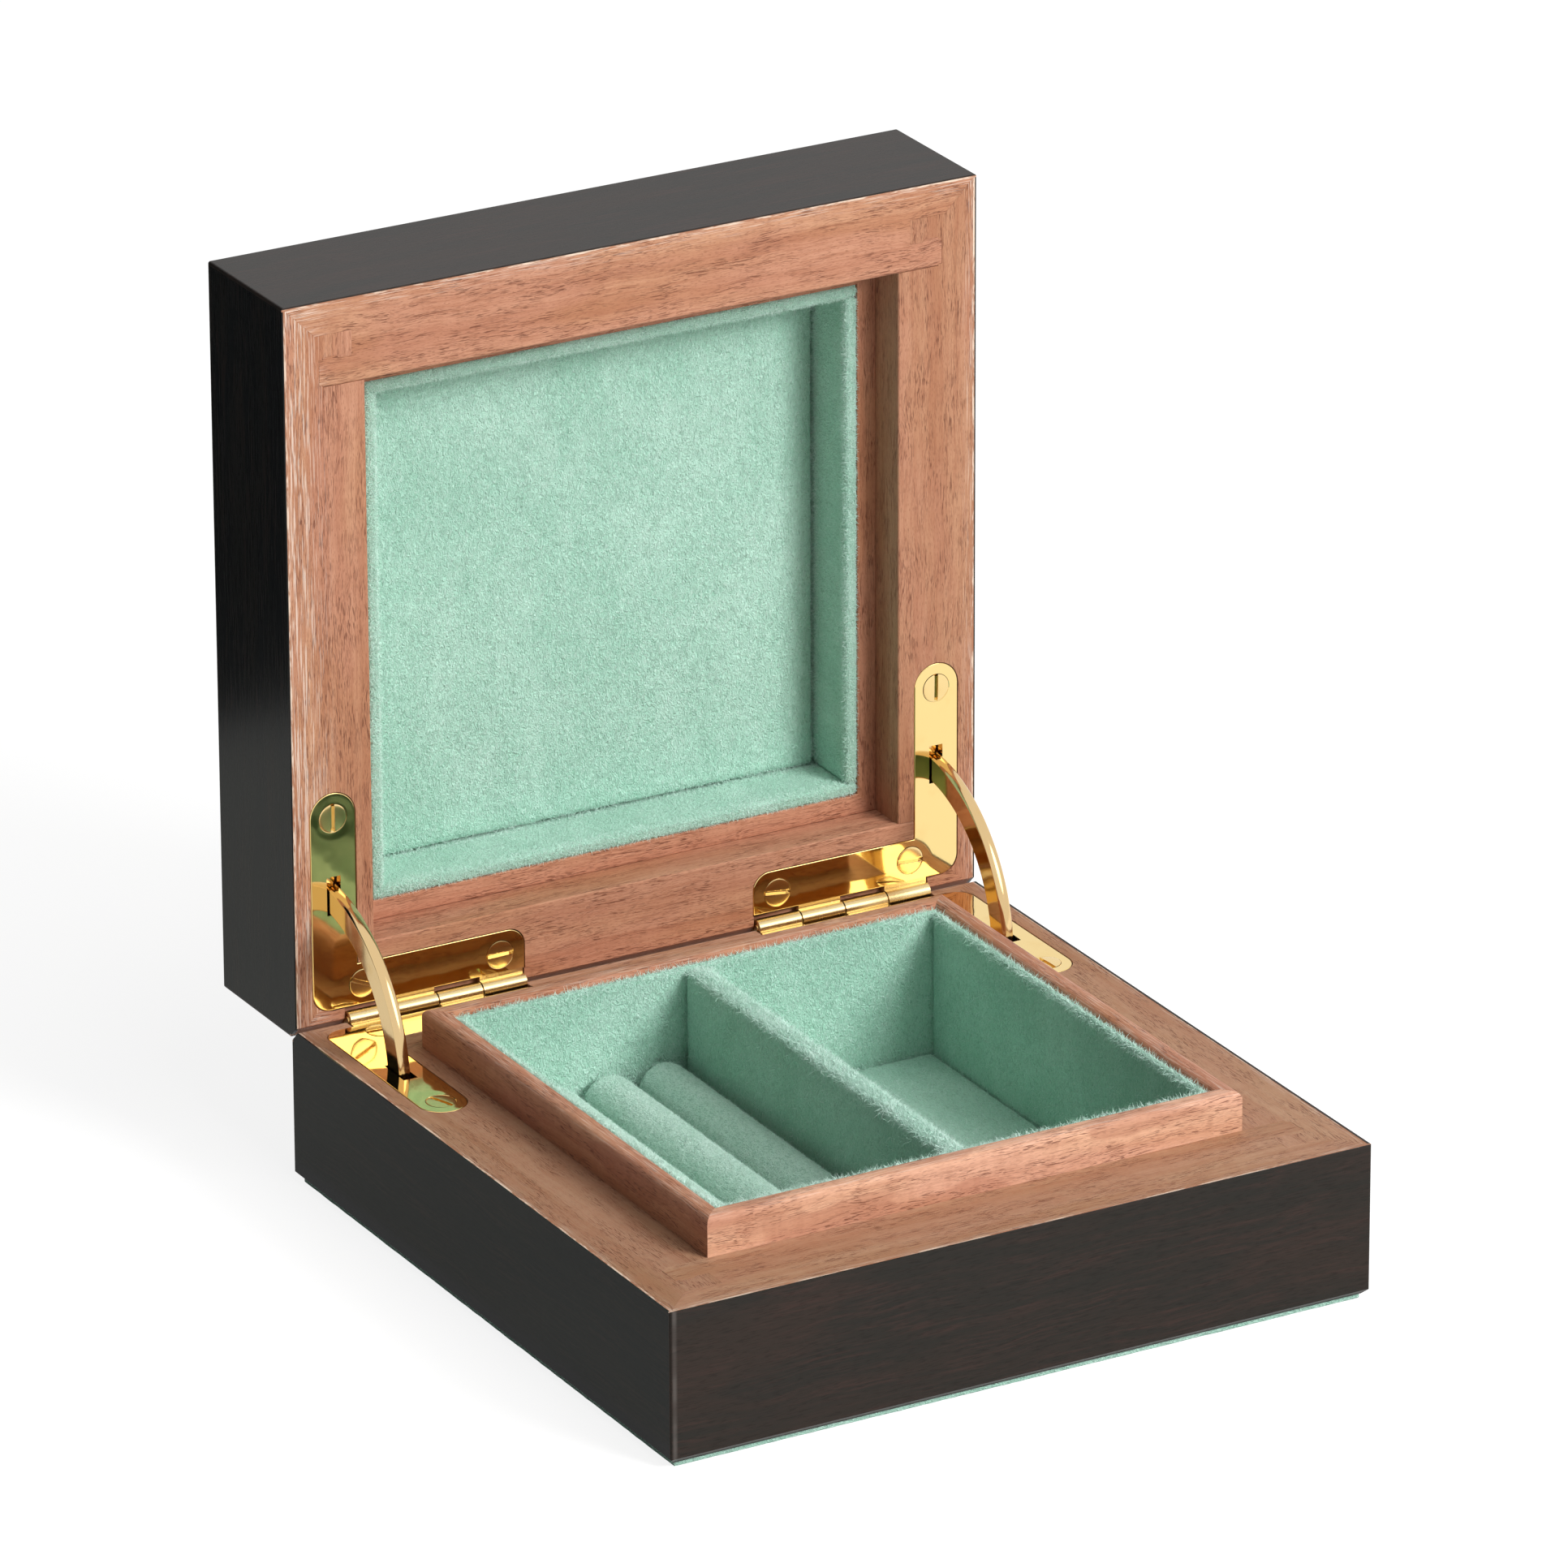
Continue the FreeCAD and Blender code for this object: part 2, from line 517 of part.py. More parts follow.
def leaf(side_name, side, half):
    """One brass leaf: an L-shaped plate flush with the rim, its two knuckles, the slot for
    the arm and three countersunk holes."""
    name = "hinge_%s_%s_leaf" % (side_name, half)
    up = half == "base"
    rim = "rim_z" if up else "lid_rim_z"
    plate_z = ("rim_z - leaf_thickness", rim) if up else (rim, "lid_rim_z + leaf_thickness")
    plate = leaf_plate(name + "_plate", "0", plate_z)
    ease(plate, "Fillet", "leaf_ease", lambda c, b: near(c.z, rim)
         and not (near(c.y, "axis_y - leaf_back") and b.YLength < SAME_PLACE))
    pieces = [plate if side < 0 else mirrored(name + "_plate_right", plate)]
    first = 0 if up else 1
    barrel_start = "-barrel_x" if side < 0 else "barrel_x - barrel_length"
    for index in range(first, KNUCKLE_COUNT, 2):
        start = "%s + %d * knuckle_length + knuckle_play / 2" % (barrel_start, index)
        length = "knuckle_length - knuckle_play"
        pieces.append(rod("%s_knuckle_%d" % (name, index), "barrel_radius", length,
                          (start, "axis_y", "axis_z"), axis="x"))
        strap_z = ("axis_z - barrel_radius", rim) if up else (rim, "axis_z + barrel_radius")
        pieces.append(box("%s_strap_%d" % (name, index), (start, "%s + %s" % (start, length)),
                          ("axis_y - leaf_back - strap_overlap", "axis_y"), strap_z))
    solid = fuse(name + "_solid", pieces)
    pin_hole = rod(name + "_pin_hole", "pin_radius + pin_play", "barrel_length + 2 * cut_past",
                   (barrel_start + " - cut_past", "axis_y", "axis_z"), axis="x")
    middle = side_x(side, "-arm_x")
    half_slot = "(arm_thickness / 2 + slot_play)"
    arm_slot = box(name + "_arm_slot",
                   ("%s - %s" % (middle, half_slot), "%s + %s" % (middle, half_slot)),
                   ("axis_y - slot_far", "axis_y - slot_near"),
                   (plate_z[0] + " - cut_past", plate_z[1] + " + cut_past"))
    holes = [pin_hole, arm_slot]
    for index, (x, y) in enumerate(screw_places()):
        cone = doc.addObject("Part::Cone", "%s_countersink_%d" % (name, index))
        if not up:
            cone.Placement.Rotation = FreeCAD.Rotation(FreeCAD.Vector(1, 0, 0), 180)
        sink = "(head_radius - shank_radius)"
        bind(cone, {"Radius1": "shank_radius + head_play", "Radius2": "head_radius + head_play",
                    "Height": sink, "Placement.Base.x": side_x(side, x), "Placement.Base.y": y,
                    "Placement.Base.z": "%s %s %s" % (rim, "-" if up else "+", sink)})
        through = rod("%s_hole_%d" % (name, index), "shank_radius + head_play",
                      "leaf_thickness + 2 * cut_past", (side_x(side, x), y, plate_z[0] + " - cut_past"))
        holes += [cone, through]
    holes = fuse(name + "_holes", holes)
    sub_part(name, combine("Part::Cut", name, solid, holes), on_lid=not up)


def screws(side_name, side, half):
    """The three countersunk, slotted wood screws of one leaf, as one group."""
    name = "hinge_%s_%s_screws" % (side_name, half)
    up = half == "base"
    rim, sign = ("rim_z", "-") if up else ("lid_rim_z", "+")
    group = []
    for index, (x, y) in enumerate(screw_places()):
        x = side_x(side, x)
        sink = "(head_radius - shank_radius)"
        head = doc.addObject("Part::Cone", "%s_head_%d" % (name, index))
        shank = doc.addObject("Part::Cylinder", "%s_shank_%d" % (name, index))
        if up:
            shank.Placement.Rotation = FreeCAD.Rotation(FreeCAD.Vector(1, 0, 0), 180)
        else:
            head.Placement.Rotation = FreeCAD.Rotation(FreeCAD.Vector(1, 0, 0), 180)
        bind(head, {"Radius1": "shank_radius", "Radius2": "head_radius", "Height": sink,
                    "Placement.Base.x": x, "Placement.Base.y": y,
                    "Placement.Base.z": "%s %s %s" % (rim, sign, sink)})
        bind(shank, {"Radius": "shank_radius", "Height": "screw_length - " + sink,
                     "Placement.Base.x": x, "Placement.Base.y": y,
                     "Placement.Base.z": "%s %s %s" % (rim, sign, sink)})
        slot = doc.addObject("Part::Box", "%s_slot_%d" % (name, index))
        turn = SCREW_TURNS["%s_%s" % (side_name, half)][index]
        slot.Placement.Rotation = FreeCAD.Rotation(FreeCAD.Vector(0, 0, 1), turn)
        # the slot box turns about its own corner, so that corner is set off from the middle
        corner_x = "%s - (head_radius + cut_past) * cos(%d) + slot_width / 2 * sin(%d)" % (x, turn, turn)
        corner_y = "%s - (head_radius + cut_past) * sin(%d) - slot_width / 2 * cos(%d)" % (y, turn, turn)
        bind(slot, {"Length": "2 * (head_radius + cut_past)", "Width": "slot_width",
                    "Height": "2 * slot_depth", "Placement.Base.x": corner_x,
                    "Placement.Base.y": corner_y, "Placement.Base.z": rim + " - slot_depth"})
        whole = fuse("%s_whole_%d" % (name, index), [head, shank])
        group.append(combine("Part::Cut", "%s_%d" % (name, index), whole, slot))
    compound = doc.addObject("Part::Compound", name)
    compound.Links = group
    sub_part(name, compound, on_lid=not up)


def hinge_pin(side_name, side):
    """The pin, held in the knuckles of the base leaf; the lid leaf turns on it."""
    start = "-barrel_x" if side < 0 else "barrel_x - barrel_length"
    name = "hinge_%s_pin" % side_name
    sub_part(name, rod(name, "pin_radius", "barrel_length", (start, "axis_y", "axis_z"), axis="x"))


def arm(side_name, side):
    """The curved arm. It slides through a slot in each leaf, and the hook at each end is wider
    than the slot and meets the back of the leaf when the lid is upright."""
    name = "hinge_%s_arm" % side_name
    middle = side_x(side, "-arm_x")
    centre = ("axis_y + arm_back", "axis_z - arm_drop")
    start = (middle + " - arm_thickness / 2",) + centre
    upper_end = "arm_tail - open_angle"
    disc = rod(name + "_disc", "arm_outer", "arm_thickness", start, "x", "open_angle - 2 * arm_tail",
               upper_end)
    inside = rod(name + "_inside", "arm_inner", "arm_thickness + 2 * cut_past",
                 (middle + " - arm_thickness / 2 - cut_past",) + centre, axis="x")
    bar = combine("Part::Cut", name + "_bar", disc, inside)
    hooks = []
    for index, turn in enumerate((upper_end, "-hook_start")):
        wedge = rod("%s_hook_disc_%d" % (name, index), "hook_outer", "arm_thickness", start, "x",
                    "hook_angle", turn)
        hooks.append(combine("Part::Cut", "%s_hook_%d" % (name, index), wedge, inside))
    whole = fuse(name + "_whole", [bar] + hooks)
    doc.recompute()
    rounded = doc.addObject("Part::Fillet", name)
    rounded.Base = whole
    ease_radius = number("arm_ease")
    rounded.Edges = [(i, ease_radius, ease_radius) for i, edge in enumerate(whole.Shape.Edges, start=1)
                     if edge.Length > number("arm_inner") and edge.BoundBox.XLength < SAME_PLACE]
    sub_part(name, rounded)


for side_name, side in (("left", -1), ("right", 1)):
    for half in ("base", "lid"):
        leaf(side_name, side, half)
        screws(side_name, side, half)
    hinge_pin(side_name, side)
    arm(side_name, side)


# ---------------------------------------------------------------------- check and export

doc.recompute()
failed = [o.Name for o in doc.Objects if "Invalid" in o.State or "Error" in o.State]
failed += [p.Label for p in SUB_PARTS if p.Shape.isNull() or not p.Shape.isValid()]
if failed:
    raise RuntimeError("these objects failed: " + ", ".join(failed))

os.makedirs("parts", exist_ok=True)
for piece in SUB_PARTS:
    piece.Shape.exportStep("parts/%s.step" % piece.Label)
print("%d sub-parts written" % len(SUB_PARTS))
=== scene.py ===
import bmesh
import bpy
import math
from mathutils import Matrix, Vector, noise


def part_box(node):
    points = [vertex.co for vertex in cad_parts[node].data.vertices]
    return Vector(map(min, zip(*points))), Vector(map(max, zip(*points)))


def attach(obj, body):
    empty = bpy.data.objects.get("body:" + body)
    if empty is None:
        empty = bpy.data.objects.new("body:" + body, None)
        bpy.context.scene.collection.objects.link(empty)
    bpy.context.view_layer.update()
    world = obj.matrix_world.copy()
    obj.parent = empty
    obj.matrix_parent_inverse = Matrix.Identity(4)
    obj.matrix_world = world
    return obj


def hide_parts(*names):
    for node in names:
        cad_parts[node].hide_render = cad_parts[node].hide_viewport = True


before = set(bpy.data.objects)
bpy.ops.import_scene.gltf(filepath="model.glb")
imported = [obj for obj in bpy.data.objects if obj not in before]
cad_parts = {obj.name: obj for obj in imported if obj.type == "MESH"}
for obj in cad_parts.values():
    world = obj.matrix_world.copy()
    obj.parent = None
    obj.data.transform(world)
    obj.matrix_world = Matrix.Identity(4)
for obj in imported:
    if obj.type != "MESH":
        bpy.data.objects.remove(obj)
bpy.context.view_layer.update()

# ---- Base walls ------------------------------------------------------------------------
# Four mahogany boards, planed and thinly oiled. Their ends are cut to a lock mitre, where a
# tongue of each board runs into its neighbour, and glued, which leaves a fine dark line.

MM = 0.001


def colour(red, green, blue):
    """A colour as the eye reads it, 0 to 255, turned to the light values that nodes take."""
    shares = [value / 255 for value in (red, green, blue)]
    return (*[s / 12.92 if s <= 0.04045 else ((s + 0.055) / 1.055) ** 2.4 for s in shares], 1)


class Wire:
    """A socket of a node tree: sums and products of wires add their own Math nodes."""

    def __init__(self, tree, socket=None):
        self.tree = tree
        self.socket = socket

    def node(self, kind, settings=None, sockets=None, output=0):
        """Adds a node to the tree, with these settings and values or wires in its sockets."""
        made = self.tree.nodes.new(kind)
        for key, value in (settings or {}).items():
            setattr(made, key, value)
        for key, value in (sockets or {}).items():
            if isinstance(value, Wire):
                self.tree.links.new(value.socket, made.inputs[key])
            else:
                made.inputs[key].default_value = value
        return Wire(self.tree, made.outputs[output])

    def math(self, operation, first, second):
        """One Math node of two numbers or wires."""
        return self.node("ShaderNodeMath", {"operation": operation}, {0: first, 1: second})

    def vector(self, operation, other, output=0):
        """One Vector Math node of this wire and another vector. Output 1 is a number."""
        return self.node("ShaderNodeVectorMath", {"operation": operation},
                         {0: self, 1: other}, output)

    def __add__(self, other):
        return self.math("ADD", self, other)

    __radd__ = __add__

    def __mul__(self, other):
        return self.math("MULTIPLY", self, other)

    def __sub__(self, other):
        return self.math("SUBTRACT", self, other)

    def size(self):
        return self.math("ABSOLUTE", self, 0)

    def between(self, low, high):
        """0 below the low value, 1 above the high one, and a smooth rise from one to the other."""
        return self.node("ShaderNodeMapRange", {"interpolation_type": "SMOOTHSTEP"},
                         {0: self, 1: low, 2: high, 3: 0, 4: 1})

    def mix(self, below, above):
        """One colour where this wire is 0 and the other where it is 1."""
        return self.node("ShaderNodeMix", {"data_type": "RGBA"}, {0: self, 6: below, 7: above}, 2)

    def reach(self, kind):
        """Joins this wire to a new output node."""
        self.tree.links.new(self.socket, self.tree.nodes.new(kind).inputs[0])

    def axis(self, letter):
        return self.node("ShaderNodeSeparateXYZ", None, {0: self}, "xyz".index(letter))

    def stretched(self, grain, length, width, shift=0, tilt=0):
        """These coordinates in pattern lengths along the grain and pattern widths across it."""
        scale = [1 / (length if letter == grain else width) / MM for letter in "xyz"]
        return self.node("ShaderNodeMapping", None, {
            "Vector": self, "Scale": scale, "Location": (shift, 1.7 * shift, 2.3 * shift),
            "Rotation": (tilt, tilt, tilt)})

    def bent(self, reach, size, shift=0):
        """These coordinates pushed about by up to the reach, in waves of the size, in mm."""
        push = self.node("ShaderNodeTexNoise", None, {
            "Vector": self.stretched("x", size, size, shift), "Scale": 1, "Detail": 1}, 1)
        push = push.vector("SUBTRACT", (0.5, 0.5, 0.5))
        push = self.node("ShaderNodeVectorMath", {"operation": "SCALE"},
                         {0: push, "Scale": 2 * reach * MM})
        return self.vector("ADD", push)

    def cloud(self, detail=0, distortion=0, roughness=0.5):
        """Noise whose blotches are one unit of these coordinates across."""
        return self.node("ShaderNodeTexNoise", None, {
            "Vector": self, "Scale": 1, "Detail": detail, "Distortion": distortion,
            "Roughness": roughness})


def bare(owner):
    """Empties the node tree of a material or a world, and returns a wire to fill it with."""
    owner.use_nodes = True
    owner.node_tree.nodes.clear()
    return Wire(owner.node_tree)


def finish(name):
    """A new material: its surface node, and a wire with its Object coordinates."""
    material = bpy.data.materials.new(name)
    bench = bare(material)
    surface = bench.tree.nodes.new("ShaderNodeBsdfPrincipled")
    Wire(bench.tree, surface.outputs[0]).reach("ShaderNodeOutputMaterial")
    return material, surface, bench.node("ShaderNodeTexCoord", output=3)


def paint(surface, where, hue=None, rough=None, relief=None, depth=0.0, strength=1.0, **fixed):
    """Joins a finish's wires to its surface node, and sets what is the same all over. Relief
    is a height wire, which stands for a depth in metres."""
    for key, value in (("Base Color", hue), ("Roughness", rough)):
        if isinstance(value, Wire):
            where.tree.links.new(value.socket, surface.inputs[key])
        elif value is not None:
            surface.inputs[key].default_value = value
    if relief is not None:
        bump = where.node("ShaderNodeBump", None,
                          {"Height": relief, "Distance": depth, "Strength": strength})
        where.tree.links.new(bump.socket, surface.inputs["Normal"])
    for key, value in fixed.items():
        surface.inputs[key.replace("_", " ")].default_value = value


def mahogany(name, grain, shift, worn=(), pale=(202, 150, 117), dark=(182, 125, 93),
             pink=(198, 140, 116), figure=1.0, stains=0.0, foot=0):
    """Pinkish brown wood with short dark pores along its grain. Worn is a list of (axis,
    side, start, end, share): on that side, from start to end in mm from the middle, the wood
    gets paler scuffs, which cover that share of it. Figure is how marked the grain is, and
    stains how dark the old damp marks are. Dark lacquer has run over the wood below the foot,
    a height in mm."""
    material, surface, place = finish(name)
    waved = place.bent(0.9, 16, shift)
    bands = waved.stretched(grain, 120, 3.6, shift).cloud(3, 0.3)
    streaks = waved.stretched(grain, 16, 0.42, shift).cloud(3, 0, 0.6)
    blush = place.stretched(grain, 40, 9, shift + 5).cloud(1).between(0.38, 0.62)
    ripple = place.stretched(grain, 2.6, 7, shift + 7).cloud(2).between(0.4, 0.64)
    groups = waved.stretched(grain, 11, 2.4, shift + 9).cloud(1).between(0.34, 0.6)
    pores = waved.stretched(grain, 2.5, 0.17, shift).cloud(1).between(0.56, 0.64) * groups
    specks = waved.stretched(grain, 1.0, 0.15, shift + 2).cloud(0).between(0.58, 0.7)
    lines = waved.stretched(grain, 34, 0.9, shift + 11).cloud(1, 0.6)
    lines = (lines - 0.5).size().between(0.05, 0.0)
    wood = bands.between(0.3, 0.7).mix(colour(*pale), colour(*dark))
    wood = (blush * 0.5).mix(wood, colour(*pink))
    wood = (ripple * 0.14).mix(wood, colour(160, 104, 76))
    if stains:
        marks = place.bent(1.5, 7, shift).stretched(grain, 30, 9, shift + 13).cloud(1, 0.3)
        wood = (marks.between(0.5, 0.56) * stains).mix(wood, colour(166, 106, 82))
    wood = (streaks.between(0.4, 0.7) * (0.42 * figure)).mix(wood, colour(156, 98, 72))
    wood = (lines * groups * (0.3 * figure)).mix(wood, colour(134, 80, 58))
    wood = (specks * (0.34 * figure)).mix(wood, colour(126, 74, 54))
    wood = (pores * 0.72).mix(wood, colour(104, 58, 42))
    wear_and_highlight = place.stretched(grain, 8, 0.2, shift + 3).cloud(2).between(0.52, 0.62)
    for letter, side, start, end, share in worn:
        edge = (place.axis(letter) * side).between(start * MM, end * MM)
        wood = (edge * wear_and_highlight * share).mix(wood, colour(238, 220, 206))
    if foot:
        wood = place.axis("z").between((foot + 0.1) * MM, foot * MM).mix(wood, colour(42, 40, 38))
    paint(surface, place, wood, 0.52 + streaks * 0.2, pores * -0.9 + streaks * 0.4, 0.00006, 0.8,
          Specular_IOR_Level=0.3)
    return material


def welded(node, name):
    """A copy of a CAD node as a new object, with its loose triangles joined to flat faces."""
    shape = bmesh.new()
    shape.from_mesh(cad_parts[node].data)
    bmesh.ops.remove_doubles(shape, verts=shape.verts, dist=0.002 * MM)
    bmesh.ops.dissolve_limit(shape, angle_limit=math.radians(0.4), verts=shape.verts,
                             edges=shape.edges)
    return placed(shape, name)


def placed(shape, name):
    """Turns a finished bmesh into an object at the origin."""
    mesh = bpy.data.meshes.new(name)
    shape.to_mesh(mesh)
    shape.free()
    piece = bpy.data.objects.new(name, mesh)
    bpy.context.scene.collection.objects.link(piece)
    return piece


def settle(piece, angle=35):
    """Works a piece's modifiers into its mesh, and shades it smooth between sharp edges."""
    seen = piece.evaluated_get(bpy.context.evaluated_depsgraph_get())
    mesh = bpy.data.meshes.new_from_object(seen)
    old = piece.data
    piece.modifiers.clear()
    piece.data = mesh
    bpy.data.meshes.remove(old)
    mesh.name = piece.name
    if angle is not None:
        mesh.shade_smooth()
        mesh.set_sharp_from_angle(angle=math.radians(angle))
    return piece


def combine(piece, other, operation):
    """Adds, cuts or keeps the shared part of two solids, in the first of them."""
    step = piece.modifiers.new("combine", "BOOLEAN")
    step.operation = operation
    step.solver = "EXACT"
    step.object = other
    settle(piece)


def drop(piece):
    """Removes a tool that has done its work."""
    bpy.data.meshes.remove(piece.data)


def loft(rings, name):
    """A closed solid through rings of corners, in mm, with a flat face at each end."""
    shape = bmesh.new()
    rings = [[shape.verts.new([c * MM for c in corner]) for corner in ring] for ring in rings]
    for near, far in zip(rings, rings[1:]):
        for i in range(len(near)):
            j = (i + 1) % len(near)
            shape.faces.new((near[i], near[j], far[j], far[i]))
    shape.faces.new(rings[0])
    shape.faces.new(rings[-1])
    bmesh.ops.recalc_face_normals(shape, faces=shape.faces)
    return placed(shape, name)


def corner_at(x, other, level, lift):
    """A corner whose level is measured along the lift, which is axis y or z."""
    return (x, level, other) if lift == "y" else (x, other, level)


def arris(piece, width, segments=1, angle=40):
    """Takes the sharpness off a piece's edges, and keeps the shading of its faces flat."""
    step = piece.modifiers.new("arris", "BEVEL")
    step.width = width * MM
    step.segments = segments
    step.limit_method = "ANGLE"
    step.angle_limit = math.radians(angle)
    settle(piece)
    even = piece.modifiers.new("even", "WEIGHTED_NORMAL")
    even.weight = 100
    even.keep_sharp = True
    return settle(piece, None)


def lock_mitre(cross, side, corner, start, end, lift):
    """Cuts the joint at one corner: a tongue of the side board runs into the cross board,
    and a tongue of the cross board into the side board, with a glue line round each. Corner
    is the x and the other place of the outer corner, and the way out of it, 1 or -1."""
    glue_line = 0.05
    side_tongue = [(6.2, 6.2), (13.9, 6.2), (13.9, 11.2), (11.2, 11.2)]
    cross_tongue = [(11.2, 11.2), (7, 11.2), (7, 16.3), (16.3, 16.3)]
    for tongue, giver, taker in ((side_tongue, side, cross), (cross_tongue, cross, side)):
        middle = [sum(p[i] for p in tongue) / len(tongue) for i in (0, 1)]
        for grow, piece in ((0, giver), (glue_line, taker)):
            outline = []
            for u, v in tongue:
                away = math.hypot(u - middle[0], v - middle[1])
                u += (u - middle[0]) / away * grow
                v += (v - middle[1]) / away * grow
                outline.append((corner[0] - math.copysign(u, corner[0]),
                                corner[1] - corner[2] * v))
            tool = loft([[corner_at(x, v, level, lift) for x, v in outline]
                         for level in (start, end)], "tongue")
            if piece is giver:
                combine(tool, taker, "INTERSECT")
                combine(giver, tool, "UNION")
            else:
                combine(taker, tool, "DIFFERENCE")
            drop(tool)


def coated(piece, material):
    """Gives a piece one material, in place of any that it has."""
    piece.data.materials.clear()
    piece.data.materials.append(material)
    return piece


def timber(piece, node, body, material):
    """Dresses a wooden piece and puts it in its node's place."""
    coated(piece, material)
    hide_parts(node)
    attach(piece, body)


wall_low, base_rim = 1, 32
walls = {end: welded("base_wall_" + end, "base_board_" + end)
         for end in ("front", "back", "left", "right")}
for cross, y, turn in (("front", -74.3, -1), ("back", 74.3, 1)):
    for side, x in (("left", -74.9), ("right", 74.9)):
        lock_mitre(walls[cross], walls[side], (x, y, turn), wall_low, base_rim, "z")
base_tones = {"pale": (184, 146, 117), "dark": (165, 122, 91), "pink": (178, 133, 108)}
shaded_tones = {"pale": (175, 138, 110), "dark": (156, 115, 85), "pink": (168, 125, 101)}
rim_wear = [("x", -1, 73, 75.6, 0.3), ("x", 1, 73, 75.6, 0.4), ("y", -1, 72, 75, 0.4),
            ("y", 1, 66, 74, 0.3)]
for order, (end, wall) in enumerate(walls.items()):
    arris(wall, 0.06)
    grain = "x" if end in ("front", "back") else "y"
    timber(wall, "base_wall_" + end, "base",
           mahogany("mahogany_base_" + end, grain, 3.1 * order + 1, rim_wear, figure=0.6, foot=1.7,
                    **(shaded_tones if end == "left" else base_tones)))

# ---- Base veneers ----------------------------------------------------------------------
# Dark striped veneer, glued to the outside of the walls on a pale backing and finished with
# satin lacquer. The backing shows as a cream line round the rim, where the edge was trimmed.


def dark_veneer(name, grain, shift, rim=None, skin=None, gloss=1.16,
                tones=((46, 44, 41), (53, 46, 42), (64, 50, 46)), marked=0.35, painted_highlight_edge=None):
    """Near black veneer with fine red-brown streaks. Rim is (axis, turn, level): the cut edge
    beyond that level, in mm along the axis times the turn, shows the pale backing. Beyond the
    skin, told in the same way, the edge is the dark veneer itself. Gloss is the lacquer's
    index, and marked how much of the grain can be felt through it. The edge to light is the
    (axis, turn) of an upright edge with a grey band along it: a painted highlight, where the
    rounded corner catches the light."""
    material, surface, place = finish(name)
    waved = place.bent(1.6, 24, shift)
    broad = waved.stretched(grain, 60, 9, shift, 0.02).cloud(3, 0.8)
    patchy = waved.stretched(grain, 22, 6, shift + 6).cloud(2, 0.5).between(0.42, 0.62)
    fine = waved.stretched(grain, 20, 0.7, shift, 0.02).cloud(4, 0.6, 0.65)
    dots = place.stretched(grain, 2.4, 0.22, shift, 0.02).cloud(1).between(0.52, 0.7)
    ground, band, streak = [colour(*tone) for tone in tones]
    wood = broad.between(0.34, 0.68).mix(ground, band)
    wood = (fine.between(0.42, 0.68) * (0.25 + patchy * 0.5)).mix(wood, streak)
    wood = (dots * 0.3).mix(wood, colour(24, 22, 21))
    # A grey band just inside the chosen upright edge: a painted highlight of the rounded corner.
    if painted_highlight_edge:
        letter, turn = painted_highlight_edge
        along = place.axis(letter) * turn
        wear_and_highlight = along.between(74.0 * MM, 74.7 * MM) * along.between(75.4 * MM, 74.9 * MM)
        wood = (wear_and_highlight * (0.25 + patchy * 0.25)).mix(wood, colour(104, 98, 94))
    if rim:
        letter, turn, level = rim
        edge = (place.axis(letter) * turn).between((level - 0.1) * MM, level * MM)
        letter, turn, level = skin
        edge = edge * (place.axis(letter) * turn).between(level * MM, (level - 0.12) * MM)
        ragged = place.stretched(grain, 6, 0.8, shift + 4).cloud(3, 0, 0.7).between(0.42, 0.6)
        wood = edge.mix(wood, ragged.mix(colour(172, 122, 96), colour(226, 202, 182)))
        rough = edge * 0.35 + fine * 0.1 + 0.14
    else:
        rough = fine * 0.1 + 0.14
    paint(surface, place, wood, rough, fine, 0.00001, marked, IOR=gloss)
    return material


# Darker, smoother tones for the veneers on the left, which face away from the lamps: painted
# shade.
painted_shade_veneer = {"tones": ((28, 31, 32), (33, 34, 33), (46, 39, 36)), "marked": 0.12}
for order, end in enumerate(("front", "back", "left", "right")):
    grain = "x" if end in ("front", "back") else "y"
    edge = ("z", 1, 29.6 if end == "back" else 31.9)
    skin = {"front": ("y", -1, 74.76), "back": ("y", 1, 74.76),
            "left": ("x", -1, 75.36), "right": ("x", 1, 75.1)}[end]
    # The front veneer gets a painted highlight on its left upright edge, and the left veneer
    # darker tones as painted shade.
    special = {"front": {"painted_highlight_edge": ("x", -1)}, "left": painted_shade_veneer}.get(end, {})
    coated(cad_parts["base_veneer_" + end],
           dark_veneer("veneer_base_" + end, grain, 2.3 * order, edge, skin, 1.13, **special))

# ---- Bottom panel and felt -------------------------------------------------------------
# A thin board let into a rebate under the walls closes the base. A sheet of mint wool felt,
# cut a little smaller than the box, is glued under it all and keeps a table from scratches.


def pressed_board(name):
    """Fine brown board made of pressed fibres."""
    material, surface, place = finish(name)
    fibres = place.stretched("x", 2.2, 0.5).cloud(3, 1.0)
    specks = place.stretched("x", 0.7, 0.7, 4).cloud(1).between(0.6, 0.7)
    hue = fibres.between(0.3, 0.7).mix(colour(150, 116, 84), colour(118, 86, 60))
    hue = (specks * 0.5).mix(hue, colour(84, 58, 40))
    paint(surface, place, hue, 0.78 + fibres * 0.12, fibres, 0.0001, 0.5)
    return material


panel_board = pressed_board("pressed_board")
coated(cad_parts["base_bottom_panel"], panel_board)


def box_of(node):
    """The low and the high corner of a node's box, in mm."""
    return [[c / MM for c in corner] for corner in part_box(node)]


def cut_lines(low, high, rounding, cell):
    """Places of the mesh lines along one side of a soft block: close at its rounded edges."""
    inner = max(1, round((high - low - 2 * rounding) / cell))
    ease = [0, 0.586 * rounding]
    middle = [low + rounding + (high - low - 2 * rounding) * i / inner for i in range(inner + 1)]
    return [low + e for e in ease] + middle + [high - e for e in reversed(ease)]


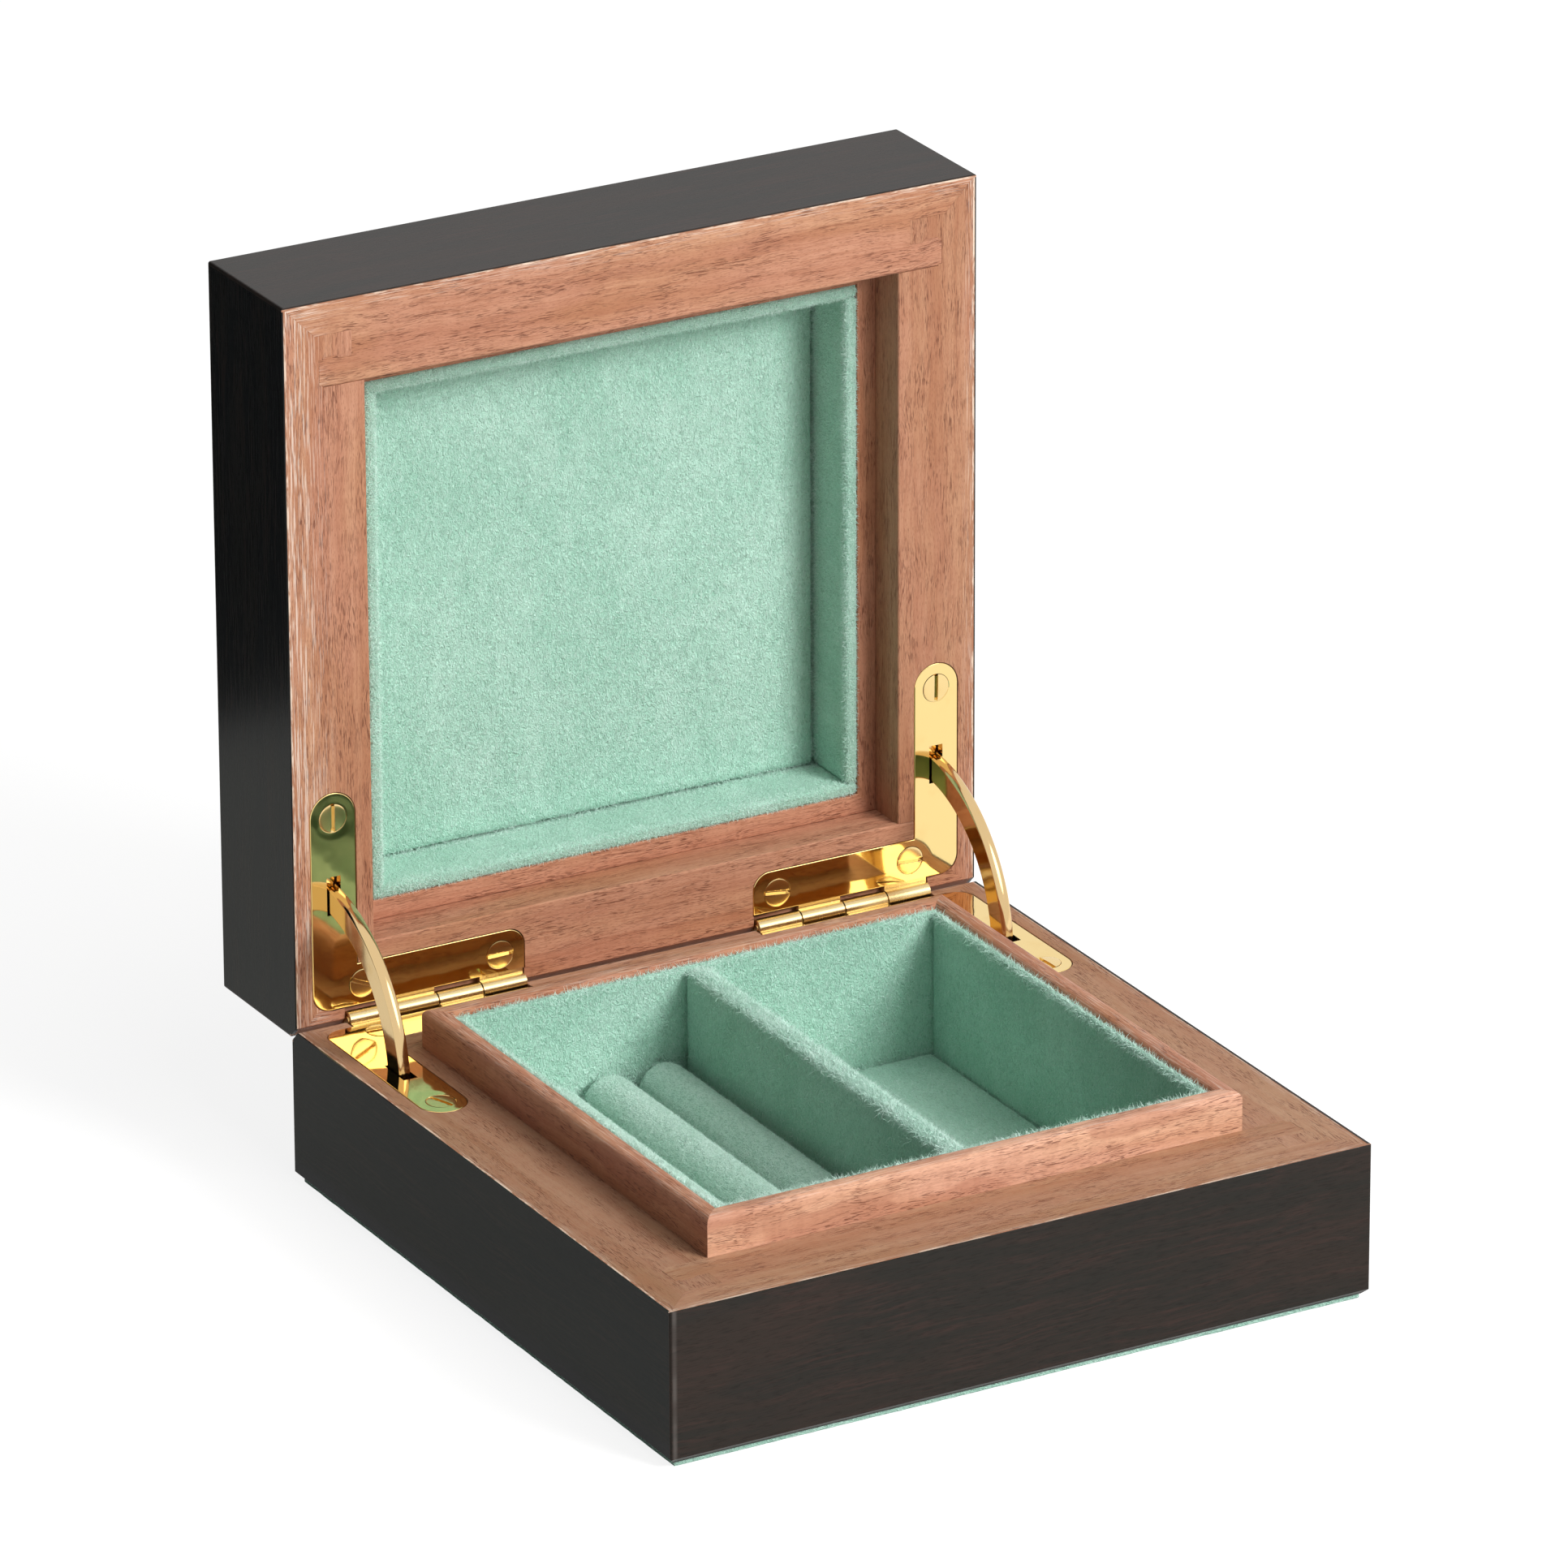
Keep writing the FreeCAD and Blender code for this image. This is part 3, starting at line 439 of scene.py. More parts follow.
def soft_block(name, low, high, rounding, cell):
    """A closed block with rounded edges, in cells small enough to be pushed about, in mm."""
    shape = bmesh.new()
    lines = [cut_lines(low[i], high[i], rounding, cell) for i in range(3)]
    known = {}

    def corner(place):
        if place not in known:
            known[place] = shape.verts.new([c * MM for c in place])
        return known[place]

    for flat in range(3):
        a, b = [i for i in range(3) if i != flat]
        for level in (lines[flat][0], lines[flat][-1]):
            for i in range(len(lines[a]) - 1):
                for j in range(len(lines[b]) - 1):
                    ring = []
                    for p, q in ((i, j), (i + 1, j), (i + 1, j + 1), (i, j + 1)):
                        place = [0.0, 0.0, 0.0]
                        place[flat], place[a], place[b] = level, lines[a][p], lines[b][q]
                        ring.append(corner(tuple(round(c, 5) for c in place)))
                    shape.faces.new(ring)
    inner_low = Vector([c + rounding for c in low]) * MM
    inner_high = Vector([c - rounding for c in high]) * MM
    for vert in shape.verts:
        held = Vector([min(max(c, inner_low[i]), inner_high[i])
                       for i, c in enumerate(vert.co)])
        vert.co = held + (vert.co - held).normalized() * rounding * MM
    bmesh.ops.recalc_face_normals(shape, faces=shape.faces)
    return placed(shape, name)


def ruffle(piece, height, spread, seed):
    """Moves each point of a soft surface a little in or out, as a nap never lies quite flat."""
    mesh = piece.data
    shift = Vector((seed * 7.3, seed * 3.1, seed * 1.7))
    normals = [vert.normal.copy() for vert in mesh.vertices]
    moved = []
    for vert, normal in zip(mesh.vertices, normals):
        wave = noise.fractal(vert.co / (spread * MM) + shift, 1.0, 2.0, 3)
        moved.extend(vert.co + normal * wave * height * MM)
    mesh.vertices.foreach_set("co", moved)
    mesh.shade_smooth()


def fluff(name, light, middle, deep, nap, shift, strength=0.9, coarse=0.0):
    """Suede or felt: a short nap with dark partings between its tufts. Nap is the axis that
    most of the tufts lie along, strength how much of their relief is felt, and coarse how
    roughed up they are."""
    material, surface, place = finish(name)
    sweep = place.stretched(nap, 26, 15, shift).cloud(2, 0.8).between(0.3, 0.72)
    brushed = place.stretched(nap, 7, 4, shift + 2).cloud(2, 0.5).between(0.3, 0.7)
    tufts = place.stretched(nap, 0.95, 0.6, shift).cloud(2, 1.4, 0.65)
    hairs = place.stretched(nap, 0.6, 0.3, shift + 6).cloud(1, 1.2)
    curls = place.stretched(nap, 1.0, 0.5, shift + 8).cloud(1, 1.2)
    broken = place.stretched(nap, 1.3, 1.0, shift + 9).cloud(1).between(0.46, 0.58)
    curls = (curls - 0.5).size().between(0.04, 0.0) * broken * (0.35 + brushed * 0.65)
    hue = sweep.mix(middle, light)
    hue = (brushed * 0.35).mix(hue, middle)
    hue = (tufts.between(0.5 + 0.06 * coarse, 0.35 + 0.06 * coarse)
           * (0.42 + 0.16 * coarse)).mix(hue, deep)
    hue = (curls * 0.16).mix(hue, deep)
    hue = (hairs.between(0.52, 0.68) * 0.42).mix(hue, colour(228, 252, 242))
    relief = tufts * 0.9 + hairs * 0.5 - curls * 0.15
    paint(surface, place, hue, 0.95, relief, 0.0008 * (1 + 0.4 * coarse), strength,
          Sheen_Weight=0.15, Sheen_Roughness=0.45, Specular_IOR_Level=0.15)
    return material


felt = soft_block("felt_foot", *box_of("base_felt"), rounding=0.3, cell=1.6)
ruffle(felt, height=0.06, spread=2.2, seed=1)
coated(felt, fluff("felt", colour(186, 224, 208), colour(166, 210, 192),
                   colour(126, 176, 158), "x", 1))
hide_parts("base_felt")
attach(felt, "base")

# ---- Lip -------------------------------------------------------------------------------
# Four thin mahogany rails stand up inside the walls and locate the closed lid. They are
# mitred at the corners, and their top edges are rounded over with fine paper.


def rail(name, end, outer, depth, foot, head, rounding, lift):
    """One mitred rail of a rectangular frame, at its left, right, near or far end. Outer is
    the frame's outer box (x low, x high, other low, other high), in mm, and lift the axis
    from the rail's foot to its head."""
    steps = 6
    section = [(0, foot), (depth, foot)]
    for centre, start in ((depth - rounding, 0), (rounding, 90)):
        for i in range(steps + 1):
            turn = math.radians(start + 90 * i / steps)
            section.append((centre + rounding * math.cos(turn),
                            head + math.copysign(rounding, foot - head)
                            * (1 - math.sin(turn))))
    rings = []
    for far in (0, 1):
        ring = []
        for inset, level in section:
            x_ends = (outer[0] + inset, outer[1] - inset)
            v_ends = (outer[2] + inset, outer[3] - inset)
            if end in ("left", "right"):
                x, v = x_ends[end == "right"], v_ends[far]
            else:
                x, v = x_ends[far], v_ends[end == "far"]
            ring.append(corner_at(x, v, level, lift))
        rings.append(ring)
    return settle(loft(rings, name), 30)


# Paler tones for the front rail of the lip, whose face is toward the lamps: painted light.
painted_light_lip_tones = {"pale": (226, 178, 147), "dark": (212, 160, 129), "pink": (222, 170, 147)}
lip_box = (-57.8, 57.8, -57.2, 54.8)
lip_thickness, lip_foot, lip_top, lip_rounding = 4.4, 5, 40, 1.5
for order, (end, place) in enumerate((("front", "near"), ("back", "far"),
                                      ("left", "left"), ("right", "right"))):
    lip = rail("lip_rail_" + end, place, lip_box, lip_thickness, lip_foot, lip_top,
               lip_rounding, "z")
    # The front rail takes the paler tones of painted light.
    timber(lip, "lip_" + end, "base",
           mahogany("mahogany_lip_" + end, "y" if end in ("left", "right") else "x",
                    5.7 * order + 20, [("z", 1, 38.9, 40.2, 0.35)], figure=0.6, stains=0.4,
                    **(painted_light_lip_tones if end == "front" else {})))

# ---- Tray lining, divider and floor ----------------------------------------------------
# Cards wrapped in mint suede line the tray: four walls, a divider that leaves a row for
# rings and a flat place beside it, and a loose floor. The wrapped edges stay fluffy.

suede_light = colour(196, 236, 218)
suede_middle = colour(177, 224, 203)
suede_deep = colour(126, 182, 156)
suedes = {nap: fluff("suede_" + nap, suede_light, suede_middle, suede_deep, nap, index + 1)
          for index, nap in enumerate("xyz")}
# Paler suede for the rolls: partly their roughed-up nap, partly painted light on their crowns.
roughed_and_lit_suede = fluff("suede_roughed_lit", colour(222, 248, 236), colour(201, 236, 219),
                     colour(140, 194, 170), nap="y", shift=8, strength=0.75, coarse=0.8)


def suede_card(name, node, nap, body, rounding, seed, pile=0.0):
    """A wrapped card in its node's place. Pile is how far its fibres raise its top edge."""
    low, high = box_of(node)
    high[2] += pile
    card = soft_block(name, low, high, rounding, cell=1.1)
    ruffle(card, height=0.1, spread=1.6, seed=seed)
    return dress(card, node, nap, body)


def dress(piece, node, nap, body):
    """Gives a padded piece its suede, and puts it in its node's place."""
    coated(piece, suedes[nap])
    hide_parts(node)
    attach(piece, body)
    return piece


tray = [suede_card("suede_tray_" + end, "tray_lining_" + end, "z", "base", 0.6, order + 2,
                   pile=0.4)
        for order, end in enumerate(("front", "back", "left", "right"))]
tray.append(suede_card("suede_divider", "tray_divider", "z", "base", 1.6, 7))
tray.append(suede_card("suede_floor", "tray_floor_right", "y", "base", 1.0, 8))
tray.append(suede_card("suede_ring_bed", "ring_roll_board", "y", "base", 0.5, 9))

# ---- Ring rolls ------------------------------------------------------------------------
# Four foam bars with round tops stand side by side on a card, each sewn into suede. Rings
# are pressed into the gaps. The filling swells the suede, which a cloth simulation does.


def roll_form(name, low, high, inset, end_round):
    """A bar with a half-round top, rounded over at both ends, a little under size."""
    radius = (high[0] - low[0]) / 2 - inset
    middle = (high[0] + low[0]) / 2
    spring = high[2] - inset - radius
    ends = []
    for turn in [math.radians(90 * i / 4) for i in range(5)]:
        ends.append((end_round * (1 - math.cos(turn)), end_round * (1 - math.sin(turn))))
    places = [(low[1] + inset + along, shrink) for along, shrink in ends]
    places += [(high[1] - inset - along, shrink) for along, shrink in reversed(ends)]
    rings = []
    for y, shrink in places:
        r = radius - shrink
        ring = [(middle - r, low[2] + inset + shrink), (middle + r, low[2] + inset + shrink)]
        ring += [(middle + r * math.cos(math.radians(t)), spring + r * math.sin(math.radians(t)))
                 for t in range(0, 181, 15)]
        rings.append([(x, y, z) for x, z in ring])
    return loft(rings, name)


def swell(piece, voxel, cap, low, high):
    """Lets the filling push the fabric out, with a cloth simulation that is then applied.
    No point goes further than the cap or outside its box, and one subdivision follows."""
    remesh = piece.modifiers.new("remesh", "REMESH")
    remesh.mode = "VOXEL"
    remesh.voxel_size = voxel * MM
    settle(piece)
    start = [vert.co.copy() for vert in piece.data.vertices]
    cloth = piece.modifiers.new("cloth", "CLOTH")
    cloth.settings.use_pressure = True
    cloth.settings.uniform_pressure_force = 4
    cloth.settings.effector_weights.gravity = 0
    cloth.point_cache.frame_start = 1
    cloth.point_cache.frame_end = last_frame = 20
    for frame_number in range(1, last_frame + 1):
        bpy.context.scene.frame_set(frame_number)
    settle(piece)
    for vert, first in zip(piece.data.vertices, start):
        move = vert.co - first
        if move.length > cap * MM:
            vert.co = first + move.normalized() * cap * MM
    bpy.context.scene.frame_set(1)
    for vert in piece.data.vertices:
        vert.co = [min(max(c, low[i] * MM), high[i] * MM) for i, c in enumerate(vert.co)]
    divide = piece.modifiers.new("divide", "SUBSURF")
    divide.levels = divide.render_levels = 1
    return settle(piece)


rolls = []
for number in range(1, 5):
    node = "ring_roll_%d" % number
    low, high = box_of(node)
    roll = roll_form("suede_roll_%d" % number, low, high, inset=0.3, end_round=1.8)
    swell(roll, voxel=1.1, cap=0.3, low=low, high=high)
    ruffle(roll, height=0.09, spread=1.6, seed=number + 20)
    # The rolls take this paler suede, which is partly painted light.
    rolls.append(coated(dress(roll, node, "y", "base"), roughed_and_lit_suede))

# ---- Lid walls -------------------------------------------------------------------------
# The lid's frame is made of the same mahogany boards with the same lock mitres as the base.
# It lies on the base when closed, and here it stands open at a right angle.

lid_rim, lid_depth = 73.15, 29.9
lid_walls = {end: welded("lid_wall_" + end, "lid_board_" + end)
             for end in ("front", "back", "left", "right")}
for cross, z, turn in (("front", 179.45, 1), ("back", 30.85, -1)):
    for side, x in (("left", -74.9), ("right", 74.9)):
        lock_mitre(lid_walls[cross], lid_walls[side], (x, z, turn), lid_rim,
                   lid_rim + lid_depth, "y")
lid_tones = {"pale": (196, 146, 114), "dark": (176, 121, 90), "pink": (192, 136, 113)}
# Darker tones for the lid's right wall, whose inner face turns away from the lamps: painted shade.
painted_shade_lid_tones = {"pale": (186, 138, 107), "dark": (167, 114, 84), "pink": (182, 128, 104)}
lid_wear = [("x", -1, 64, 75, 0.65), ("x", 1, 72, 75.6, 0.4), ("z", 1, 176, 180, 0.5)]
for order, (end, wall) in enumerate(lid_walls.items()):
    arris(wall, 0.06)
    grain = "x" if end in ("front", "back") else "z"
    # The right wall takes the darker tones of painted shade.
    timber(wall, "lid_wall_" + end, "lid",
           mahogany("mahogany_lid_" + end, grain, 4.3 * order + 40, lid_wear,
                    **(painted_shade_lid_tones if end == "right" else lid_tones)))

# ---- Lid veneers and panel -------------------------------------------------------------
# The lid carries the same dark veneer on its four edges and over its top, which is a board
# let in behind the lining.

for order, end in enumerate(("front", "back", "left", "right", "top")):
    grain = {"left": "z", "right": "z"}.get(end, "x")
    edge = None if end == "top" else ("y", -1, -75.6 if end == "back" else -73.25)
    skin = {"front": ("z", 1, 179.9), "back": ("z", -1, -30.4), "left": ("x", -1, 75.36),
            "right": ("x", 1, 75.36)}.get(end)
    # The lid's left veneer takes the darker tones of painted shade as well.
    coated(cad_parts["lid_veneer_" + end],
           dark_veneer("veneer_lid_" + end, grain, 1.9 * order + 9, edge, skin,
                       1.2 if end == "top" else 1.16, **(painted_shade_veneer if end == "left" else {})))
coated(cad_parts["lid_top_panel"], panel_board)

# ---- Ledge -----------------------------------------------------------------------------
# Thin mahogany rails inside the lid, mitred, make the ledge that meets the tray's lip.

ledge_box = (-58.2, 58.2, 47.55, 162.75)
ledge_thickness, ledge_foot, ledge_top, ledge_rounding = 4.2, 99.05, 81.75, 0.3
for order, (end, place) in enumerate((("front", "far"), ("back", "near"),
                                      ("left", "left"), ("right", "right"))):
    ledge = rail("ledge_rail_" + end, place, ledge_box, ledge_thickness, ledge_foot, ledge_top,
                 ledge_rounding, "y")
    timber(ledge, "lid_ledge_" + end, "lid",
           mahogany("mahogany_ledge_" + end, "z" if end in ("left", "right") else "x",
                    3.7 * order + 60))

# ---- Lid lining and pad ----------------------------------------------------------------
# Wrapped cards line the sides of the well, and a thin foam pad in suede fills its floor. The
# pad is swollen by the same simulation as the rolls.

well = [suede_card("suede_lid_" + end, "lid_suede_" + end, "y", "lid", 0.8, order + 30)
        for order, end in enumerate(("front", "back", "left", "right"))]
low, high = box_of("lid_pad")
squeeze, gap = 0.3, 0.03
low, high = [[low[0] - squeeze, low[1], low[2] - squeeze],
             [high[0] + squeeze, high[1], high[2] + squeeze]]
pad = soft_block("suede_pad", [c + gap for c in low], [c - gap for c in high],
                 rounding=0.35, cell=2.0)
swell(pad, voxel=1.3, cap=0.3, low=low, high=high)
ruffle(pad, height=0.1, spread=1.8, seed=40)
dress(pad, "lid_pad", "z", "lid")

# ---- Nap -------------------------------------------------------------------------------
# The loose fibres that stand up along the wrapped edges, where the suede was cut and folded:
# thin tapered hairs, scattered over those edges and leaning every way.


def node_group(name, **kinds):
    """A geometry node group with these inputs: its tree, and a wire from each input."""
    tree = bpy.data.node_groups.new(name, "GeometryNodeTree")
    for label, kind in {"Geometry": "Geometry", **kinds}.items():
        tree.interface.new_socket(label, in_out="INPUT", socket_type="NodeSocket" + kind)
    tree.interface.new_socket("Geometry", in_out="OUTPUT", socket_type="NodeSocketGeometry")
    given = tree.nodes.new("NodeGroupInput").outputs
    return tree, {socket.name: Wire(tree, socket) for socket in given if socket.name}


def grown(piece, name, tree, sizes):
    """Runs a node group on a piece with these inputs, and keeps what it makes."""
    step = piece.modifiers.new(name, "NODES")
    step.node_group = tree
    for item in tree.interface.items_tree:
        if item.in_out == "INPUT" and item.name in sizes:
            step[item.identifier] = sizes[item.name]
    return settle(piece)


def nap_tree():
    """Scatters hairs over the faces where the attribute fringe is high."""
    tree, given = node_group("nap", Density="Float", Length="Float", Width="Float",
                             Lean="Float", Seed="Int", Suede="Material")
    start = Wire(tree)
    fringe = start.node("GeometryNodeInputNamedAttribute", {"data_type": "FLOAT"},
                        {"Name": "fringe"})
    roots = start.node("GeometryNodeDistributePointsOnFaces", None, {
        "Mesh": given["Geometry"], "Density": fringe * given["Density"], "Seed": given["Seed"]})
    upright = Wire(tree, roots.socket.node.outputs["Rotation"])
    hair = start.node("GeometryNodeMeshCone", None, {
        "Vertices": 3, "Radius Top": 0.0, "Radius Bottom": given["Width"],
        "Depth": given["Length"]})
    lean = given["Lean"]
    spin = start.node("ShaderNodeCombineXYZ", None, {0: lean, 1: lean, 2: 3.14})
    back = start.node("ShaderNodeVectorMath", {"operation": "SCALE"}, {0: spin, "Scale": -1.0})
    tilt = start.node("FunctionNodeRandomValue", {"data_type": "FLOAT_VECTOR"},
                      {0: back, 1: spin, "Seed": given["Seed"]})
    turn = start.node("FunctionNodeEulerToRotation", None, {0: tilt})
    stand = start.node("FunctionNodeRotateRotation", {"rotation_space": "LOCAL"},
                       {0: upright, 1: turn})
    size = start.node("FunctionNodeRandomValue", {"data_type": "FLOAT"},
                      {2: 0.45, 3: 1.0, "Seed": given["Seed"]}, 1)
    hairs = start.node("GeometryNodeInstanceOnPoints", None, {
        "Points": roots, "Instance": hair, "Rotation": stand, "Scale": size})
    real = start.node("GeometryNodeRealizeInstances", None, {0: hairs})
    done = start.node("GeometryNodeSetMaterial", None, {0: real, "Material": given["Suede"]})
    done.reach("NodeGroupOutput")
    return tree


hair_tree = nap_tree()


def nap(name, pieces, body, fringe, material, **sizes):
    """Hairs for several pieces as one mesh. Fringe gives how thick they stand at a point."""
    shape = bmesh.new()
    for piece in pieces:
        shape.from_mesh(piece.data)
    carrier = placed(shape, name)
    mesh = carrier.data
    thick = mesh.attributes.new("fringe", "FLOAT", "POINT")
    thick.data.foreach_set("value", [fringe(vert.co / MM, vert.normal)
                                     for vert in mesh.vertices])
    grown(carrier, "nap", hair_tree, {"Suede": material, **sizes})
    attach(carrier, body)


def tray_fringe(spot, normal):
    """Thick along the tops of the linings and the divider, sparse elsewhere."""
    return 1.0 if spot.z > 37.7 else 0.04


def well_fringe(spot, normal):
    """Thick along the front edges of the lid's lining and round the pad, sparse elsewhere."""
    beside = max(abs(spot.x) - 50.4, 55.4 - spot.z, spot.z - 154.9)
    if spot.y < 82.8:
        return 1.0
    return 0.9 if beside > 0 and 92.9 < spot.y < 94.6 else 0.03


hair_finish = fluff("suede_hair", colour(232, 252, 244), colour(216, 245, 233),
                    colour(190, 228, 212), nap="z", shift=12, strength=0.15)
nap("nap_tray", tray, "base", tray_fringe, hair_finish,
    Density=9 / MM ** 2, Length=1.2 * MM, Width=0.045 * MM, Lean=1.1, Seed=3)
nap("nap_tray_locks", tray, "base", tray_fringe, hair_finish,
    Density=6 / MM ** 2, Length=1.8 * MM, Width=0.065 * MM, Lean=1.2, Seed=6)
nap("nap_rolls", rolls, "base", lambda spot, normal: max(0.0, normal.z) * 0.3, hair_finish,
    Density=22 / MM ** 2, Length=0.7 * MM, Width=0.035 * MM, Lean=1.2, Seed=5)
nap("nap_lid", [*well, pad], "lid", well_fringe, hair_finish,
    Density=9 / MM ** 2, Length=1.0 * MM, Width=0.045 * MM, Lean=1.0, Seed=4)
nap("nap_lid_locks", [*well, pad], "lid", well_fringe, hair_finish,
    Density=6 / MM ** 2, Length=1.05 * MM, Width=0.06 * MM, Lean=1.2, Seed=7)

# ---- Hinges ----------------------------------------------------------------------------
# Two solid brass box hinges, polished and lacquered. Each has an L-shaped leaf let into the
# base and one into the lid, a pin through the knuckles, and a curved arm that slides through
# slots in both leaves and stops the lid at a right angle.

# Each screw of the base and of the lid: its x, its y or z, the turn of its slot in degrees,
# and its lean in degrees about two axes. The leaves are a little dished round the heads.
base_screws = [(-66.8, 30.4, 112, 1.2, -0.8), (-60.9, 65.9, -4, -1.0, 1.4),
               (-30.9, 66.4, 95, 0.6, 1.0), (66.8, 30.4, 93, -1.2, 0.8),
               (60.9, 65.9, 20, 1.0, 1.0), (30.9, 66.4, 80, -0.8, -1.0)]
lid_screws = [(-66.8, 74.75, -90, 1.6, 1.0), (-60.9, 39.25, -25, -1.4, 1.2),
              (-30.9, 38.75, 2, 1.0, -1.6), (66.8, 74.75, -90, -1.2, 1.6),
              (60.9, 39.25, -4, 1.8, -1.0), (30.9, 38.75, -6, -1.0, -1.4)]
heads = [(x, y, base_rim) for x, y, *_ in base_screws]
heads += [(x, lid_rim, z) for x, z, *_ in lid_screws]
hinge_axis = (0, 0.0729, 0.03225)


def brass(name, shift, tone=colour(243, 213, 145), rough=0.04, dished=(), dull=0.0):
    """Polished brass: very slightly uneven, with fine hand polishing marks. Polishing has
    dished it a little round the dished places, in mm, and left it dull along the barrels."""
    material, surface, place = finish(name)
    swirl = place.stretched("x", 9, 7, shift).cloud(1, 0.4)
    marks = place.stretched("z", 5, 0.25, shift, 0.6).cloud(2)
    tarnish = place.stretched("x", 6, 6, shift + 2).cloud(3).between(0.55, 0.8)
    hue = (tarnish * 0.25).mix(tone, colour(228, 184, 106))
    gloss = marks * 0.05 + tarnish * 0.05 + rough
    if dull:
        away = place.vector("MULTIPLY", (0, 1, 1)).vector("DISTANCE", hinge_axis, 1)
        barrel = away.between(3.0 * MM, 2.7 * MM)
        hue = (barrel * 0.5).mix(hue, colour(226, 206, 166))
        gloss = gloss + barrel * dull
    for spot in dished:
        away = place.vector("DISTANCE", [c * MM for c in spot], 1)
        swirl = swirl - away.between(5.2 * MM, 2.8 * MM) * 0.6
    paint(surface, place, hue, gloss, swirl, 0.0001, 0.6, Metallic=1.0)
    return material


leaf_brass = brass("brass_leaf", 1, dished=heads, dull=0.2)
screw_brass = brass("brass_screw", 5, colour(240, 210, 148), rough=0.16)
arm_brass = brass("brass_arm", 9, colour(226, 194, 142), rough=0.08)


def metal(node, name, body, material, bevel, segments):
    """A hinge part with its edges rounded a little, in its node's place."""
    piece = coated(arris(welded(node, name), bevel, segments, 32), material)
    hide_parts(node)
    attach(piece, body)


def curved_arm(name, middle):
    """A brass bar bent to an arc, crowned on its outer face, with a hook at each end."""
    centre_y, centre_z, inner, outer, hook = 77.213, 27.937, 27.6, 33, 36
    first, spring, land, last = 90.29, 93.29, 176.71, 179.71
    step, segments = 0.05, 64
    stops = [(first, hook), (spring - step, hook), (spring + step, outer)]
    stops += [(spring + (land - spring) * i / segments, outer) for i in range(1, segments)]
    stops += [(land - step, outer), (land + step, hook), (last, hook)]
    rings = []
    for turn, reach in stops:
        # Half of the cross-section, as (distance from its middle, radius of the bend).
        half = [(0.95, inner), (1.1, inner + 0.07), (1.18, inner + 0.2), (1.2, inner + 0.35),
                (1.2, reach - 0.72), (1.17, reach - 0.56), (1.08, reach - 0.4),
                (0.9, reach - 0.22), (0.62, reach - 0.1), (0.32, reach - 0.03)]
        section = half + [(0, reach)] + [(-x, r) for x, r in reversed(half)]
        along, up = math.cos(math.radians(turn)), math.sin(math.radians(turn))
        rings.append([(middle + x, centre_y + r * along, centre_z + r * up)
                      for x, r in section])
    piece = settle(loft(rings, name))
    even = piece.modifiers.new("even", "WEIGHTED_NORMAL")
    even.keep_sharp = True
    return settle(piece, None)


for side in ("left", "right"):
    for half in ("base", "lid"):
        metal("hinge_%s_%s_leaf" % (side, half), "leaf_%s_%s" % (side, half), half, leaf_brass,
              0.3, 3)
    metal("hinge_%s_pin" % side, "pin_" + side, "base", screw_brass, 0.1, 2)
    arm_x = -66.8 if side == "left" else 66.8
    arm = coated(curved_arm("arm_" + side, arm_x), arm_brass)
    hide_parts("hinge_%s_arm" % side)
    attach(arm, side + "_arm")

# ---- Screws ----------------------------------------------------------------------------
# Twelve slotted brass wood screws, three to a leaf, with countersunk heads that are very
# slightly crowned. Each is driven to its own angle, and none sits perfectly square.


def screw_tree():
    """Stands a screw at each point, turned and leaning as the point's stance says."""
    tree, given = node_group("screw", Head="Float", Crown="Float", Shank="Float",
                             Length="Float", Slot="Float", Depth="Float", Brass="Material")
    start = Wire(tree)
    head, shank, length = given["Head"], given["Shank"], given["Length"]
    sink = head - shank
    cone = start.node("GeometryNodeMeshCone", None, {
        "Vertices": 40, "Radius Top": head, "Radius Bottom": shank, "Depth": sink})
    down = start.node("ShaderNodeCombineXYZ", None, {2: sink * -1})
    cone = start.node("GeometryNodeTransform", None, {"Geometry": cone, "Translation": down})
    ball = start.node("GeometryNodeMeshUVSphere", None, {
        "Segments": 40, "Rings": 16, "Radius": head})
    inside = 0.985  # The crown stays clear of the cone's rim, so that the union closes.
    flat = start.node("ShaderNodeCombineXYZ", None, {
        0: inside, 1: inside, 2: start.math("DIVIDE", given["Crown"], head)})
    crown = start.node("GeometryNodeTransform", None, {
        "Geometry": ball, "Scale": flat, "Translation": (0, 0, -0.00001)})
    stem = start.node("GeometryNodeMeshCylinder", None, {
        "Vertices": 16, "Radius": shank * 0.98, "Depth": length - sink * 0.9})
    drop_down = start.node("ShaderNodeCombineXYZ", None, {2: (length + sink * 0.9) * -0.5})
    stem = start.node("GeometryNodeTransform", None, {"Geometry": stem, "Translation": drop_down})
    solid = tree.nodes.new("GeometryNodeMeshBoolean")
    solid.operation = "UNION"
    solid.solver = "EXACT"
    for part in (cone, crown, stem):
        tree.links.new(part.socket, solid.inputs["Mesh 2"])
    size = start.node("ShaderNodeCombineXYZ", None, {
        0: head * 2.5, 1: given["Slot"], 2: given["Depth"] * 2})
    blade = start.node("GeometryNodeMeshCube", None, {"Size": size})
    slotted = start.node("GeometryNodeMeshBoolean", {"operation": "DIFFERENCE",
                                                     "solver": "EXACT"}, {
        "Mesh 1": Wire(tree, solid.outputs[0]), "Mesh 2": blade})
    stance = start.node("GeometryNodeInputNamedAttribute", {"data_type": "FLOAT_VECTOR"},
                        {"Name": "stance"})
    turn = start.node("FunctionNodeEulerToRotation", None, {0: stance})
    stood = start.node("GeometryNodeInstanceOnPoints", None, {
        "Points": given["Geometry"], "Instance": slotted, "Rotation": turn})
    real = start.node("GeometryNodeRealizeInstances", None, {0: stood})
    done = start.node("GeometryNodeSetMaterial", None, {0: real, "Material": given["Brass"]})
    done.reach("NodeGroupOutput")
    return tree


